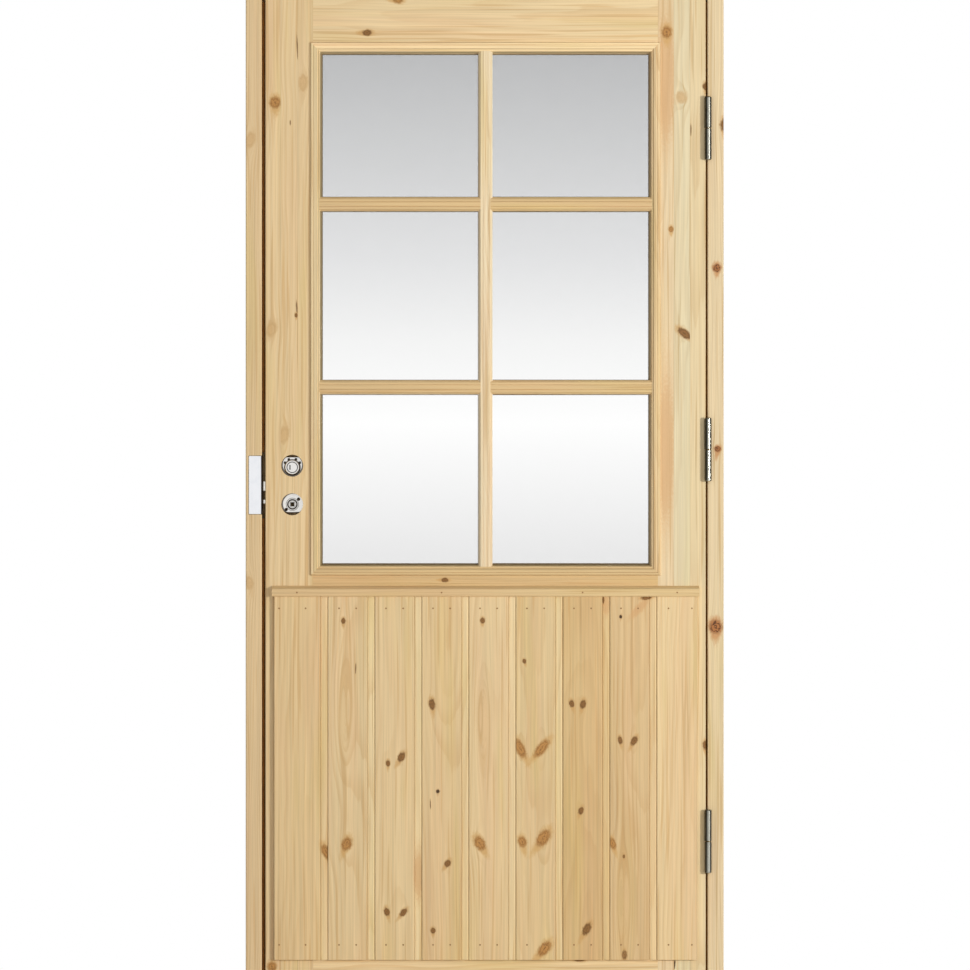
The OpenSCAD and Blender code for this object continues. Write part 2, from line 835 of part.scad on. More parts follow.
// Nail places on the boards as [x, z], and on the cap strip
board_nail_spots = [
    for (i = [0 : board_count - 1])
        for (x = board_nails(i))
            for (z = [clad_z0 + nail_foot, cap_z0 - nail_top])
                [x, z]];
cap_nail_spots = [for (i = [0, 3, 6, 8]) [face_mid(i), (cap_z0 + cap_z1) / 2]];

module nail(x, z, y_head, l, fit) {
    head_h = 1.2;
    bar_y(y_head, y_head + l + fit, x, z, nail_d + 2 * fit);
    bar_y(y_head - (fit > 0 ? cut : 0), y_head + head_h + fit, x, z, nail_head_d + 2 * fit);
}

module nails(fit) {
    sunk = 0.4;
    for (s = board_nail_spots)
        nail(s[0], s[1], y_front - board_t + sunk, nail_l, fit);
    for (s = cap_nail_spots)
        nail(s[0], s[1], y_front - cap_d + sunk, nail_l + cap_d - board_t, fit);
}

module stile_section(x, c) {
    polygon(chamfered(x, [y_front, leaf_y1], c));
}

// Holes for a lock part: a wide one in the front and a blind one behind the case
module lock_hole(front_z, rear_z) {
    bar_y(y_front - cut, case_y0, lock_x, front_z, lock_hole_d);
    bar_y(case_y1, leaf_y1 - rear_skin, lock_x, rear_z, rear_hole_d);
}

module handle_bolt_holes(y0, y1) {
    for (s = [-1, 1])
        bar_y(y0, y1, lock_x + s * handle_bolt_r * cos(handle_bolt_a),
            hub_z + s * handle_bolt_r * sin(handle_bolt_a), handle_bolt_d);
}

// Faceplate with round ends, grown by a clearance and carried past the edge where it is a cut
module faceplate_body(fit, past) {
    r = faceplate_w / 2 + fit;
    straight = faceplate_h / 2 - faceplate_w / 2;
    x = [leaf_x0 - past, leaf_x0 + faceplate_t + fit];
    for (s = [-1, 1])
        bar_x(x[0], x[1], y_mid, lock_z + s * straight, 2 * r);
    block(x, [y_mid - r, y_mid + r], [lock_z - straight, lock_z + straight]);
}

module lock_stile() {
    color(pine)
        difference() {
            translate([0, 0, leaf_z0])
                linear_extrude(leaf_z1 - leaf_z0)
                    stile_section([leaf_x0, open_x0], [arris, 0, 0, arris]);
            inner_panel_seat();
            dowels(hole_fit);
            nails(hole_fit);
            block([leaf_x0 - cut, case_x1 + seat_fit], [case_y0 - seat_fit, case_y1 + seat_fit],
                [case_z0 - mortise_room, case_z1 + mortise_room]);
            faceplate_body(seat_fit, cut);
            lock_hole(upper_hole_z, cylinder_z);
            lock_hole(hub_z, hub_z);
            handle_bolt_holes(case_y1, leaf_y1 - rear_skin);
            at_faceplate_screws()
                screw_hole(screw_d, screw_head_d, screw_l);
        }
}

module hinge_stile() {
    color(pine_pale)
        difference() {
            translate([0, 0, leaf_z0])
                linear_extrude(leaf_z1 - leaf_z0)
                    stile_section([open_x1, leaf_x1], [0, arris, arris, 0]);
            inner_panel_seat();
            dowels(hole_fit);
            nails(hole_fit);
            leaf_hinge_sinks();
            at_hinge_screws(1)
                screw_hole(screw_d, screw_head_d, screw_l);
        }
}

// A rail between the stiles
module rail(z0, z1) {
    color(pine)
        difference() {
            block([open_x0, open_x1], [y_front, leaf_y1], [z0, z1]);
            inner_panel_seat();
            dowels(hole_fit);
            nails(hole_fit);
        }
}

module top_rail() { rail(open_z1, leaf_z1); }
module middle_rail() { rail(field_z1, open_z0); }
module bottom_rail() { rail(leaf_z0, field_z0); }

module rail_dowels() {
    color(pine_deep)
        dowels(0);
}

module insulation_core() {
    color(foam)
        block([open_x0 + seat_fit, open_x1 - seat_fit],
            [y_front + seat_fit, leaf_y1 - inner_panel_t - seat_fit],
            [field_z0 + seat_fit, field_z1 - seat_fit]);
}

// Panel sheet on the inside, with V grooves in line with the cladding's joints
module inner_panel() {
    lap = inner_panel_lap - seat_fit;
    color(pine_pale)
        difference() {
            block([open_x0 - lap, open_x1 + lap], [leaf_y1 - inner_panel_t, leaf_y1],
                [field_z0 - lap, field_z1 + lap]);
            for (i = [1 : board_count - 1])
                translate([board_x(i), leaf_y1, (field_z0 + field_z1) / 2])
                    rotate([0, 0, 45])
                        cube([v_groove_w / sqrt(2), v_groove_w / sqrt(2), field_h * 2],
                            center = true);
        }
}

// Board section in x and v, where v runs out from the leaf's face
function board_outline(x0, x1, w, first, last) = concat(
    [[x0, 0]],
    last ? [[w, 0], [w, board_t - arris], [w - arris, board_t]] : [
        [w - joint_gap, 0], [w - joint_gap, tongue_v0], [w + tongue_l, tongue_v0],
        [w + tongue_l, tongue_v1], [w - joint_gap, tongue_v1], [w - joint_gap, shelf_v],
        [x1 + riser_w + quirk_w, shelf_v], [x1 + riser_w + quirk_w / 2, shelf_v - quirk_d],
        [x1 + riser_w, shelf_v], [x1, board_t]],
    first ? [[x0 + arris, board_t], [x0, board_t - arris]] : [
        [x0 + arris / 2, board_t], [x0, board_t - arris / 2], [x0, tongue_v1 + joint_gap / 2],
        [x0 + tongue_l + 2 * joint_gap, tongue_v1 + joint_gap / 2],
        [x0 + tongue_l + 2 * joint_gap, tongue_v0 - joint_gap / 2],
        [x0, tongue_v0 - joint_gap / 2]]);

module cladding_board(i) {
    x0 = board_x(i);
    color(i % 2 == 0 ? pine : pine_deep)
        difference() {
            translate([0, y_front, clad_z0])
                mirror([0, 1, 0])
                    linear_extrude(cap_z0 - clad_z0)
                        polygon(board_outline(x0, face_end(i), x0 + board_w(i),
                            i == 0, i == board_count - 1));
            nails(hole_fit);
        }
}

module cladding_board_1() { cladding_board(0); }
module cladding_board_2() { cladding_board(1); }
module cladding_board_3() { cladding_board(2); }
module cladding_board_4() { cladding_board(3); }
module cladding_board_5() { cladding_board(4); }
module cladding_board_6() { cladding_board(5); }
module cladding_board_7() { cladding_board(6); }
module cladding_board_8() { cladding_board(7); }
module cladding_board_9() { cladding_board(8); }

// Weathered strip: its top falls towards the front
module cap_strip() {
    x0 = leaf_x0 + cap_margin;
    color(pine_deep)
        difference() {
            translate([x0, y_front, 0])
                rotate([90, 0, 90])
                    linear_extrude(leaf_x1 - cap_margin - x0)
                        polygon([
                            [0, cap_z0], [0, cap_z1 + cap_fall], [arris - cap_d, cap_z1],
                            [-cap_d, cap_z1 - arris], [-cap_d, cap_z0 + arris],
                            [arris - cap_d, cap_z0]]);
            nails(hole_fit);
        }
}

module cladding_nails() {
    color(zinc)
        nails(0);
}

// V cut of a quirk, with its mouth on v = 0
module quirk() {
    polygon([[0, -quirk_d], [quirk_w, quirk_d], [-quirk_w, quirk_d]]);
}

// Moulded bead section: u runs in over the glass, v out from the leaf's face
module bead_section() {
    difference() {
        polygon([
            [0, -bead_foot], [bead_sight, -bead_foot], [bead_sight, splay_v], [splay_u, fillet_top],
            [fillet_u, fillet_top], [fillet_u - step_w, bead_rise],
            [bead_bevel - bead_lap, bead_rise], [-bead_lap, bead_toe], [-bead_lap, 0], [0, 0]]);
        translate([bead_quirk - bead_lap, bead_rise])
            quirk();
    }
}

// Inner edge of the beads, which the bars' ends are scribed to
module rim_section(fit) {
    polygon([
        [0, -bead_foot - cut], [bead_sight + fit, -bead_foot - cut], [bead_sight + fit, splay_v],
        [splay_u + fit, fillet_top], [splay_u + fit, fillet_top + cut], [0, fillet_top + cut]]);
}

// Runs a section along an edge of a given opening length on +X, with the edge on z = 0
module along_edge(l) {
    translate([-bead_lap, y_front, 0])
        rotate([90, 0, 90])
            linear_extrude(l + 2 * bead_lap)
                rotate(90)
                    children();
}

// Bead with mitred ends on such an edge
module bead(l) {
    intersection() {
        along_edge(l)
            bead_section();
        translate([0, y_front, 0])
            rotate([90, 0, 0])
                linear_extrude(2 * leaf_t, center = true)
                    polygon([
                        [-bead_lap, -bead_lap], [l + bead_lap, -bead_lap],
                        [l - bead_sight, bead_sight], [bead_sight, bead_sight]]);
    }
}

// The four edges of the glass opening
light_w = open_x1 - open_x0;
light_h = open_z1 - open_z0;
module at_bottom_edge() {
    translate([open_x0, 0, open_z0])
        children();
}
module at_top_edge() {
    translate([open_x0, 0, open_z1])
        mirror([0, 0, 1])
            children();
}
module at_right_edge() {
    translate([open_x1, 0, open_z0])
        rotate([0, -90, 0])
            children();
}
module at_left_edge() {
    translate([open_x0, 0, open_z0])
        mirror([1, 0, 0])
            rotate([0, -90, 0])
                children();
}

// The inside is the mirror image of the outside in the leaf
module inside() {
    translate([0, 2 * y_mid, 0])
        mirror([0, 1, 0])
            children();
}

module outer_bead_top() { color(pine) at_top_edge() bead(light_w); }
module outer_bead_bottom() { color(pine) at_bottom_edge() bead(light_w); }
module outer_bead_left() { color(pine) at_left_edge() bead(light_h); }
module outer_bead_right() { color(pine) at_right_edge() bead(light_h); }
module inner_bead_top() { color(pine) inside() at_top_edge() bead(light_w); }
module inner_bead_bottom() { color(pine) inside() at_bottom_edge() bead(light_w); }
module inner_bead_left() { color(pine) inside() at_left_edge() bead(light_h); }
module inner_bead_right() { color(pine) inside() at_right_edge() bead(light_h); }

module pane(y) {
    color(glass)
        block([open_x0 + pane_edge, open_x1 - pane_edge], [y, y + pane_t],
            [open_z0 + pane_edge, open_z1 - pane_edge]);
}

module outer_pane() { pane(unit_front); }
module inner_pane() { pane(unit_front + pane_t + cavity_w); }

module pane_spacer() {
    e = pane_edge + 1;
    i = e + spacer_h;
    y = [unit_front + pane_t, unit_front + pane_t + cavity_w];
    color(zinc)
        difference() {
            block([open_x0 + e, open_x1 - e], y, [open_z0 + e, open_z1 - e]);
            block([open_x0 + i, open_x1 - i], [y[0] - cut, y[1] + cut],
                [open_z0 + i, open_z1 - i]);
        }
}

module setting_blocks() {
    color(rubber)
        for (s = [-1, 1])
            block([mid_x + s * block_off - block_l / 2, mid_x + s * block_off + block_l / 2],
                [unit_front, unit_front + unit_t], [open_z0, open_z0 + pane_edge]);
}

// Outline of a glazing bar about its centre line, with a splay down each side
module bar_outline(fit) {
    half = bar_w / 2 + fit;
    flat = bar_flat + fit;
    polygon([
        [-half, -bead_foot], [half, -bead_foot], [half, bar_side_v], [flat, fillet_top],
        [-flat, fillet_top], [-half, bar_side_v]]);
}

module bar_section() {
    difference() {
        bar_outline(0);
        for (s = [-1, 1])
            translate([s * bar_quirk, fillet_top])
                quirk();
    }
}

// Room that a cross bar leaves for the upright bar
module upright_room() {
    bar_outline(hole_fit);
    translate([-bar_flat - hole_fit, 0])
        square([2 * (bar_flat + hole_fit), fillet_top + cut]);
}

// Runs a section up the middle of the glass
module upright(z0, z1) {
    translate([mid_x, y_front, z0])
        mirror([0, 1, 0])
            linear_extrude(z1 - z0)
                children();
}

module bead_rims() {
    at_bottom_edge() along_edge(light_w) rim_section(hole_fit);
    at_top_edge() along_edge(light_w) rim_section(hole_fit);
    at_left_edge() along_edge(light_h) rim_section(hole_fit);
    at_right_edge() along_edge(light_h) rim_section(hole_fit);
}

module vertical_bar() {
    color(pine_pale)
        difference() {
            upright(open_z0 + splay_u, open_z1 - splay_u)
                bar_section();
            bead_rims();
        }
}

// Cross bar between the upright bar and a side bead, scribed at both ends
module cross_bar(z, side) {
    x = side < 0 ? [open_x0 + splay_u, mid_x - bar_flat] : [mid_x + bar_flat, open_x1 - splay_u];
    color(pine_pale)
        difference() {
            translate([x[0], y_front, z])
                rotate([90, 0, 90])
                    linear_extrude(x[1] - x[0])
                        rotate(90)
                            bar_section();
            upright(z - bar_w, z + bar_w)
                upright_room();
            bead_rims();
        }
}

module cross_bar_1() { cross_bar(bar_1_z, -1); }
module cross_bar_2() { cross_bar(bar_1_z, 1); }
module cross_bar_3() { cross_bar(bar_2_z, -1); }
module cross_bar_4() { cross_bar(bar_2_z, 1); }

module leaf_hardware_screws() {
    color(nickel) {
        at_hinge_screws(1)
            wood_screw(screw_d, screw_head_d, screw_l);
        at_faceplate_screws()
            wood_screw(screw_d, screw_head_d, screw_l);
    }
}

// Holes of the crown, which go on into the lock case
module crown_holes(y0, y1) {
    for (a = crown_angles)
        bar_y(y0, y1, lock_x + crown_hole_r * cos(a), cylinder_z + crown_hole_r * sin(a), crown_hole_d);
}

// Pressed steel case, open towards the faceplate
module lock_case() {
    w = case_wall;
    color(steel)
        difference() {
            block([case_x0, case_x1], [case_y0, case_y1], [case_z0, case_z1]);
            block([case_x0 - cut, case_x1 - w], [case_y0 + w, case_y1 - w],
                [case_z0 + w, case_z1 - w]);
            bar_y(case_y0 - cut, case_y1 + cut, lock_x, hub_z, hub_d + 2 * turn_fit);
            bar_y(case_y0 - cut, y_mid, lock_x, cylinder_z, cylinder_d + 2 * cylinder_gap);
            bar_y(y_mid, case_y1 + cut, lock_x, cylinder_z, plug_d);
            handle_bolt_holes(case_y0 - cut, case_y1 + cut);
            crown_holes(case_y0 - cut, y_mid);
        }
}

module lock_faceplate() {
    color(steel)
        difference() {
            faceplate_body(0, 0);
            bolt_openings(leaf_x0 - cut, leaf_x0 + faceplate_t + cut, slide_fit);
            at_faceplate_screws()
                screw_hole(screw_d, screw_head_d, screw_l);
        }
}

// Cylinder that stands on the case's back, with a crown over its upper half on the case's front
module lock_cylinder() {
    rim = 1;
    color(steel)
        difference() {
            union() {
                bar_y(cylinder_y + rim, case_y1 - case_wall, lock_x, cylinder_z, cylinder_d);
                translate([lock_x, cylinder_y + rim, cylinder_z])
                    rotate([90, 0, 0])
                        cylinder(h = rim, d1 = cylinder_d, d2 = cylinder_d - 2 * rim);
                intersection() {
                    bar_y(case_y0 - crown_t, case_y0, lock_x, cylinder_z, 2 * crown_r);
                    block([lock_x - crown_r, lock_x + crown_r], [case_y0 - crown_t, case_y0],
                        [crown_foot, cylinder_z + crown_r]);
                }
            }
            crown_holes(case_y0 - crown_t - cut, case_y0 + cut);
            bar_y(cylinder_y - cut, case_y1, lock_x, cylinder_z, plug_d + 2 * turn_fit);
        }
}

// Plug with its key slot in front and its tail towards the inside
module cylinder_plug() {
    face_y = cylinder_y + 0.8;
    rim = 0.8;
    slot_x = lock_x - 4.2;
    slot_w = 2.1;
    slot_h = 9;
    slot_l = 14;
    dimple_d = 1.8;
    dimple_off = [6.5, 6];
    tail_t = 2.5;
    tail_h = 8;
    color(nickel)
        union() {
            difference() {
                union() {
                    bar_y(face_y + rim, y_mid - 1, lock_x, cylinder_z, plug_d);
                    translate([lock_x, face_y + rim, cylinder_z])
                        rotate([90, 0, 0])
                            cylinder(h = rim, d1 = plug_d, d2 = plug_d - 2 * rim);
                }
                block([slot_x - slot_w / 2, slot_x + slot_w / 2], [face_y - cut, face_y + slot_l],
                    [cylinder_z - slot_h / 2, cylinder_z + slot_h / 2]);
                for (s = [-1, 1])
                    bar_y(face_y - cut, face_y + 1, lock_x + s * dimple_off[0],
                        cylinder_z - dimple_off[1], dimple_d);
            }
            block([lock_x - tail_t / 2, lock_x + tail_t / 2], [y_mid - 1, case_y1 + 2],
                [cylinder_z - tail_h / 2, cylinder_z + tail_h / 2]);
        }
}

// Hub with its square hole, a groove in its face and the nose that works the latch's fork
module spindle_hub() {
    groove_r = [7.3, 9.9];
    groove_d = 1.5;
    color(nickel)
        difference() {
            union() {
                bar_y(case_y0, case_y1, lock_x, hub_z, hub_d);
                block([lock_x - nose_half, lock_x + nose_half], [y_mid - 3.5, y_mid + 3.5],
                    [hub_z, hub_z + nose_top]);
            }
            block([lock_x - spindle_s / 2, lock_x + spindle_s / 2], [case_y0 - cut, case_y1 + cut],
                [hub_z - spindle_s / 2, hub_z + spindle_s / 2]);
            difference() {
                bar_y(case_y0 - cut, case_y0 + groove_d, lock_x, hub_z, 2 * groove_r[1]);
                bar_y(case_y0 - 2 * cut, case_y0 + 2 * groove_d, lock_x, hub_z, 2 * groove_r[0]);
            }
        }
}

// Bevelled latch with a tail whose fork straddles the hub's nose
module latch_bolt() {
    x0 = leaf_x0 - bolt_out;
    body_l = 23;
    y = [y_mid - latch_w / 2, y_mid + latch_w / 2];
    tail_y = [y_mid - 2.5, y_mid + 2.5];
    tail_z = [latch_z - 4, latch_z + 4];
    fork_z = [hub_z + hub_d / 2 + 0.8, latch_z];
    color(steel)
        union() {
            translate([0, 0, latch_z - latch_h / 2])
                linear_extrude(latch_h)
                    polygon([
                        [x0, y[0]], [x0, y[0] + 2], [x0 + latch_w - 2, y[1]],
                        [x0 + body_l, y[1]], [x0 + body_l, y[0]]]);
            block([x0 + body_l, lock_x + fork_gap + fork_t], tail_y, tail_z);
            for (s = [-1, 1])
                block([lock_x + s * (fork_gap + fork_t / 2) - fork_t / 2,
                    lock_x + s * (fork_gap + fork_t / 2) + fork_t / 2], tail_y, fork_z);
        }
}

module trigger_bolt() {
    x0 = leaf_x0 - bolt_out;
    body_l = 34;
    y = [y_mid - trigger_w / 2, y_mid + trigger_w / 2];
    color(steel)
        translate([0, 0, trigger_z - trigger_h / 2])
            linear_extrude(trigger_h)
                polygon([
                    [x0, y[0]], [x0, y[0] + 2], [x0 + trigger_w - 2, y[1]],
                    [x0 + body_l, y[1]], [x0 + body_l, y[0]]]);
}

strike_jamb();
hinge_jamb();
head();
threshold();
weather_seal();
strike_plate();
frame_hardware_screws();
frame_corner_screws();
frame_hinge_top();
frame_hinge_middle();
frame_hinge_bottom();
hinge_pins();
hinge_washers();
lock_stile();
hinge_stile();
top_rail();
middle_rail();
bottom_rail();
rail_dowels();
insulation_core();
inner_panel();
cladding_board_1();
cladding_board_2();
cladding_board_3();
cladding_board_4();
cladding_board_5();
cladding_board_6();
cladding_board_7();
cladding_board_8();
cladding_board_9();
cap_strip();
cladding_nails();
outer_bead_top();
outer_bead_bottom();
outer_bead_left();
outer_bead_right();
inner_bead_top();
inner_bead_bottom();
inner_bead_left();
inner_bead_right();
outer_pane();
inner_pane();
pane_spacer();
setting_blocks();
vertical_bar();
cross_bar_1();
cross_bar_2();
cross_bar_3();
cross_bar_4();
leaf_hinge_top();
leaf_hinge_middle();
leaf_hinge_bottom();
leaf_hardware_screws();
lock_case();
lock_faceplate();
lock_cylinder();
latch_bolt();
trigger_bolt();
spindle_hub();
cylinder_plug();
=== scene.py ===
"""Looks of a glazed pine cabin door hung in its frame.

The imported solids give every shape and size. This script gives each of them its finish, adds the thin trim
that repeats, and sets the floor, the light and the camera. Shader lengths are millimetres, so that grain and
knots read as they would on a ruler; everything else is in metres.
"""

import logging
import math
from dataclasses import dataclass, field
from enum import Enum
from typing import Any, Iterable, Protocol

import bpy
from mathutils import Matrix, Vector


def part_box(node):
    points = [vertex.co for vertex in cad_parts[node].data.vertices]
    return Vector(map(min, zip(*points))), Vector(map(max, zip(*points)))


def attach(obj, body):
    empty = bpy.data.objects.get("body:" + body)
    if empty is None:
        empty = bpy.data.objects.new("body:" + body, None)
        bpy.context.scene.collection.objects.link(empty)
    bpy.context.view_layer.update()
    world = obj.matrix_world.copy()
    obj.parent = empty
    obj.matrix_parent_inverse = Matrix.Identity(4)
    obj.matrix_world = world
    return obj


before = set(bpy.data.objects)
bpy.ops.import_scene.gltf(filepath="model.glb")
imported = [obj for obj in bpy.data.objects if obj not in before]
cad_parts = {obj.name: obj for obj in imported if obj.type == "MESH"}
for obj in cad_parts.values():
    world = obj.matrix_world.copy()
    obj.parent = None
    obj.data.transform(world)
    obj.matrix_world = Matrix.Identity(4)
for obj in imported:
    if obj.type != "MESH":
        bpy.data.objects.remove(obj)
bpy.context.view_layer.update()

LOG = logging.getLogger("cabin_door")
MM = 1000.0  # millimetres in a metre
Colour = tuple[float, float, float, float]
Socket = bpy.types.NodeSocket
WHITE: Colour = (1.0, 1.0, 1.0, 1.0)


def srgb(red: int, green: int, blue: int) -> Colour:
    """Turns a colour as a screen shows it, 0 to 255 a channel, into a linear one.

    Args:
        red: Red channel.
        green: Green channel.
        blue: Blue channel.

    Returns:
        The linear colour with full alpha.
    """
    shares = [channel / 255 for channel in (red, green, blue)]
    linear = [s / 12.92 if s <= 0.04045 else ((s + 0.055) / 1.055) ** 2.4 for s in shares]
    return (linear[0], linear[1], linear[2], 1.0)


class Value:
    """A number on a shader tree that takes part in Python arithmetic; each operation adds a Math node."""

    def __init__(self, sheet: "Sheet", socket: Socket) -> None:
        """Wraps one output socket of the tree that the sheet draws."""
        self.sheet = sheet
        self.socket = socket

    def _math(self, operation: str, *operands: "Value | float") -> "Value":
        """The result of one Math node with the operands in order."""
        node = self.sheet.node("ShaderNodeMath", {"operation": operation}, dict(enumerate(operands)))
        return Value(self.sheet, node.outputs[0])

    def __add__(self, other: "Value | float") -> "Value":
        """The sum."""
        return self._math("ADD", self, other)

    def __radd__(self, other: float) -> "Value":
        """The sum, with the number first."""
        return self._math("ADD", other, self)

    def __sub__(self, other: "Value | float") -> "Value":
        """The difference."""
        return self._math("SUBTRACT", self, other)

    def __rsub__(self, other: float) -> "Value":
        """The difference, with the number first."""
        return self._math("SUBTRACT", other, self)

    def __mul__(self, other: "Value | float") -> "Value":
        """The product."""
        return self._math("MULTIPLY", self, other)

    def __rmul__(self, other: float) -> "Value":
        """The product, with the number first."""
        return self._math("MULTIPLY", other, self)

    def __truediv__(self, other: "Value | float") -> "Value":
        """The quotient."""
        return self._math("DIVIDE", self, other)

    def __rtruediv__(self, other: float) -> "Value":
        """The quotient, with the number first."""
        return self._math("DIVIDE", other, self)

    def __gt__(self, other: "Value | float") -> "Value":
        """1 where this value is the larger, 0 elsewhere."""
        return self._math("GREATER_THAN", self, other)

    def root(self) -> "Value":
        """The square root."""
        return self._math("SQRT", self)

    def size(self) -> "Value":
        """The value without its sign."""
        return self._math("ABSOLUTE", self)

    def above_zero(self) -> "Value":
        """The value where it is positive, 0 elsewhere."""
        return self._math("MAXIMUM", self, 0.0)

    def floor(self) -> "Value":
        """The whole number below."""
        return self._math("FLOOR", self)

    def part(self) -> "Value":
        """What is left after the whole number below."""
        return self._math("FRACT", self)

    def sine(self) -> "Value":
        """The sine of the value in radians."""
        return self._math("SINE", self)

    def rise(self, low: float, high: float) -> "Value":
        """A smooth step from 0 at low to 1 at high."""
        return self._step(low, high, 0.0, 1.0)

    def fall(self, low: float, high: float) -> "Value":
        """A smooth step from 1 at low to 0 at high."""
        return self._step(low, high, 1.0, 0.0)

    def _step(self, low: float, high: float, start: float, end: float) -> "Value":
        """Adds a Map Range node that steps smoothly.

        Args:
            low: Where the step begins.
            high: Where it ends.
            start: The result before it.
            end: The result after it.

        Returns:
            The mapped value.
        """
        node = self.sheet.node(
            "ShaderNodeMapRange",
            {"interpolation_type": "SMOOTHSTEP"},
            {"Value": self, "From Min": low, "From Max": high, "To Min": start, "To Max": end},
        )
        return Value(self.sheet, node.outputs["Result"])


class Sheet:
    """A node tree under construction."""

    def __init__(self, tree: bpy.types.NodeTree) -> None:
        """Takes the node tree of a material, a world or a trim and empties it."""
        self.tree = tree
        tree.nodes.clear()

    def node(
        self, kind: str, settings: dict[str, Any] | None = None, sockets: dict[int | str, Any] | None = None
    ) -> bpy.types.Node:
        """Adds one node of any kind.

        Args:
            kind: The node's type name.
            settings: Its settings, set first; "stops" fills a colour ramp.
            sockets: Values or links of its inputs, by index, identifier or name.

        Returns:
            The node.
        """
        made = self.tree.nodes.new(kind)
        for name, value in (settings or {}).items():
            if name == "stops":
                self._fill_ramp(made.color_ramp, value)
            else:
                setattr(made, name, value)
        for key, value in (sockets or {}).items():
            socket = self._input(made, key)
            source = value.socket if isinstance(value, Value) else value
            if isinstance(source, Socket):
                self.tree.links.new(source, socket)
            else:
                socket.default_value = source
        return made

    @staticmethod
    def _input(node: bpy.types.Node, key: int | str) -> Socket:
        """Finds an input of a node.

        Args:
            node: The node.
            key: The input's index, identifier or name.

        Returns:
            The input.
        """
        if isinstance(key, int):
            return node.inputs[key]
        by_identifier = [socket for socket in node.inputs if socket.identifier == key]
        return by_identifier[0] if by_identifier else node.inputs[key]

    @staticmethod
    def _fill_ramp(ramp: bpy.types.ColorRamp, stops: Iterable[tuple[float, Colour]]) -> None:
        """Gives a colour ramp its stops.

        Args:
            ramp: The ramp.
            stops: Places and colours in rising order.
        """
        for index, (place, colour) in enumerate(stops):
            stop = ramp.elements[index] if index < len(ramp.elements) else ramp.elements.new(place)
            stop.position = place
            stop.color = colour

    def place_mm(self) -> tuple[Value, Value, Value]:
        """The point on the piece.

        Returns:
            Its X, Y and Z in millimetres.
        """
        point = self.node("ShaderNodeTexCoord").outputs["Object"]
        scaled = self.node("ShaderNodeVectorMath", {"operation": "SCALE"}, {"Vector": point, "Scale": MM})
        split = self.node("ShaderNodeSeparateXYZ", {}, {0: scaled.outputs[0]})
        return tuple(Value(self, output) for output in split.outputs)

    def ray(self, kind: str) -> Value:
        """1 for light rays of one kind, such as Camera or Glossy, 0 for others."""
        return Value(self, self.node("ShaderNodeLightPath").outputs[f"Is {kind} Ray"])

    def noise(self, spot: tuple[Value, Value, Value], detail: float = 2.0, roughness: float = 0.5) -> Value:
        """Soft noise, from about 0 to 1.

        Args:
            spot: Where to read it, in cells of the noise.
            detail: How many finer layers it has.
            roughness: How strong the finer layers are.

        Returns:
            The noise.
        """
        vector = self.node("ShaderNodeCombineXYZ", {}, dict(enumerate(spot))).outputs[0]
        sockets = {"Vector": vector, "Scale": 1.0, "Detail": detail, "Roughness": roughness}
        return Value(self, self.node("ShaderNodeTexNoise", {}, sockets).outputs[0])

    def blend(self, share: Value | float, first: Any, second: Any, mode: str = "MIX") -> Socket:
        """Mixes two colours.

        Args:
            share: How much of the second colour shows.
            first: The colour underneath.
            second: The colour on top.
            mode: The Mix node's blend type.

        Returns:
            The mixed colour.
        """
        settings = {"data_type": "RGBA", "blend_type": mode, "clamp_factor": True}
        sockets = {"Factor_Float": share, "A_Color": first, "B_Color": second}
        node = self.node("ShaderNodeMix", settings, sockets)
        return next(output for output in node.outputs if output.identifier == "Result_Color")

    def lighten(self, colour: Any, factor: Value | float) -> Socket:
        """The colour with its brightness multiplied by the factor."""
        return self.node("ShaderNodeHueSaturation", {}, {"Value": factor, "Color": colour}).outputs[0]

    def bump(self, height: Value, depth_mm: float, strength: float) -> Socket:
        """A normal that follows a height from 0 to 1, of which 1 measures depth_mm."""
        sockets = {"Strength": strength, "Distance": depth_mm / MM, "Height": height}
        return self.node("ShaderNodeBump", {}, sockets).outputs[0]

    def surface(self, sockets: dict[str, Any]) -> None:
        """Ends a material in one Principled shader with the given inputs."""
        shader = self.node("ShaderNodeBsdfPrincipled", {}, sockets)
        self.node("ShaderNodeOutputMaterial", {}, {"Surface": shader.outputs[0]})


def new_sheet(name: str) -> tuple[bpy.types.Material, Sheet]:
    """Starts a material.

    Args:
        name: The material's name.

    Returns:
        The material and the sheet of its nodes.
    """
    material = bpy.data.materials.new(name)
    material.use_nodes = True
    return material, Sheet(material.node_tree)


class Grain(Enum):
    """Which way the fibres of a piece of wood run."""

    UPRIGHT = "Z"
    LEVEL = "X"


class KnotKind(Enum):
    """What a mark in the wood is."""

    LIVE = "orange-brown knot grown together with the wood"
    RINGED = "large red-brown knot with rings and checks"
    DEAD = "darker knot with a rim of bark"
    PIN = "small black knot"
    GHOST = "pale swirl beside a branch"
    RESIN = "reddish patch of resin"
    FLAME = "swelling that draws the rings out into a flame"
    SLIT = "fine drying crack"


# Short names for the lists of knots.
LIVE, RINGED, DEAD, PIN, GHOST, RESIN, FLAME, SLIT = KnotKind


@dataclass(frozen=True)
class KnotLook:
    """How one kind of knot is coloured."""

    heart: Colour
    rim: Colour
    halo: Colour
    body_share: float
    halo_share: float
    push: float
    check: float = 0.0
    rings: float = 0.42


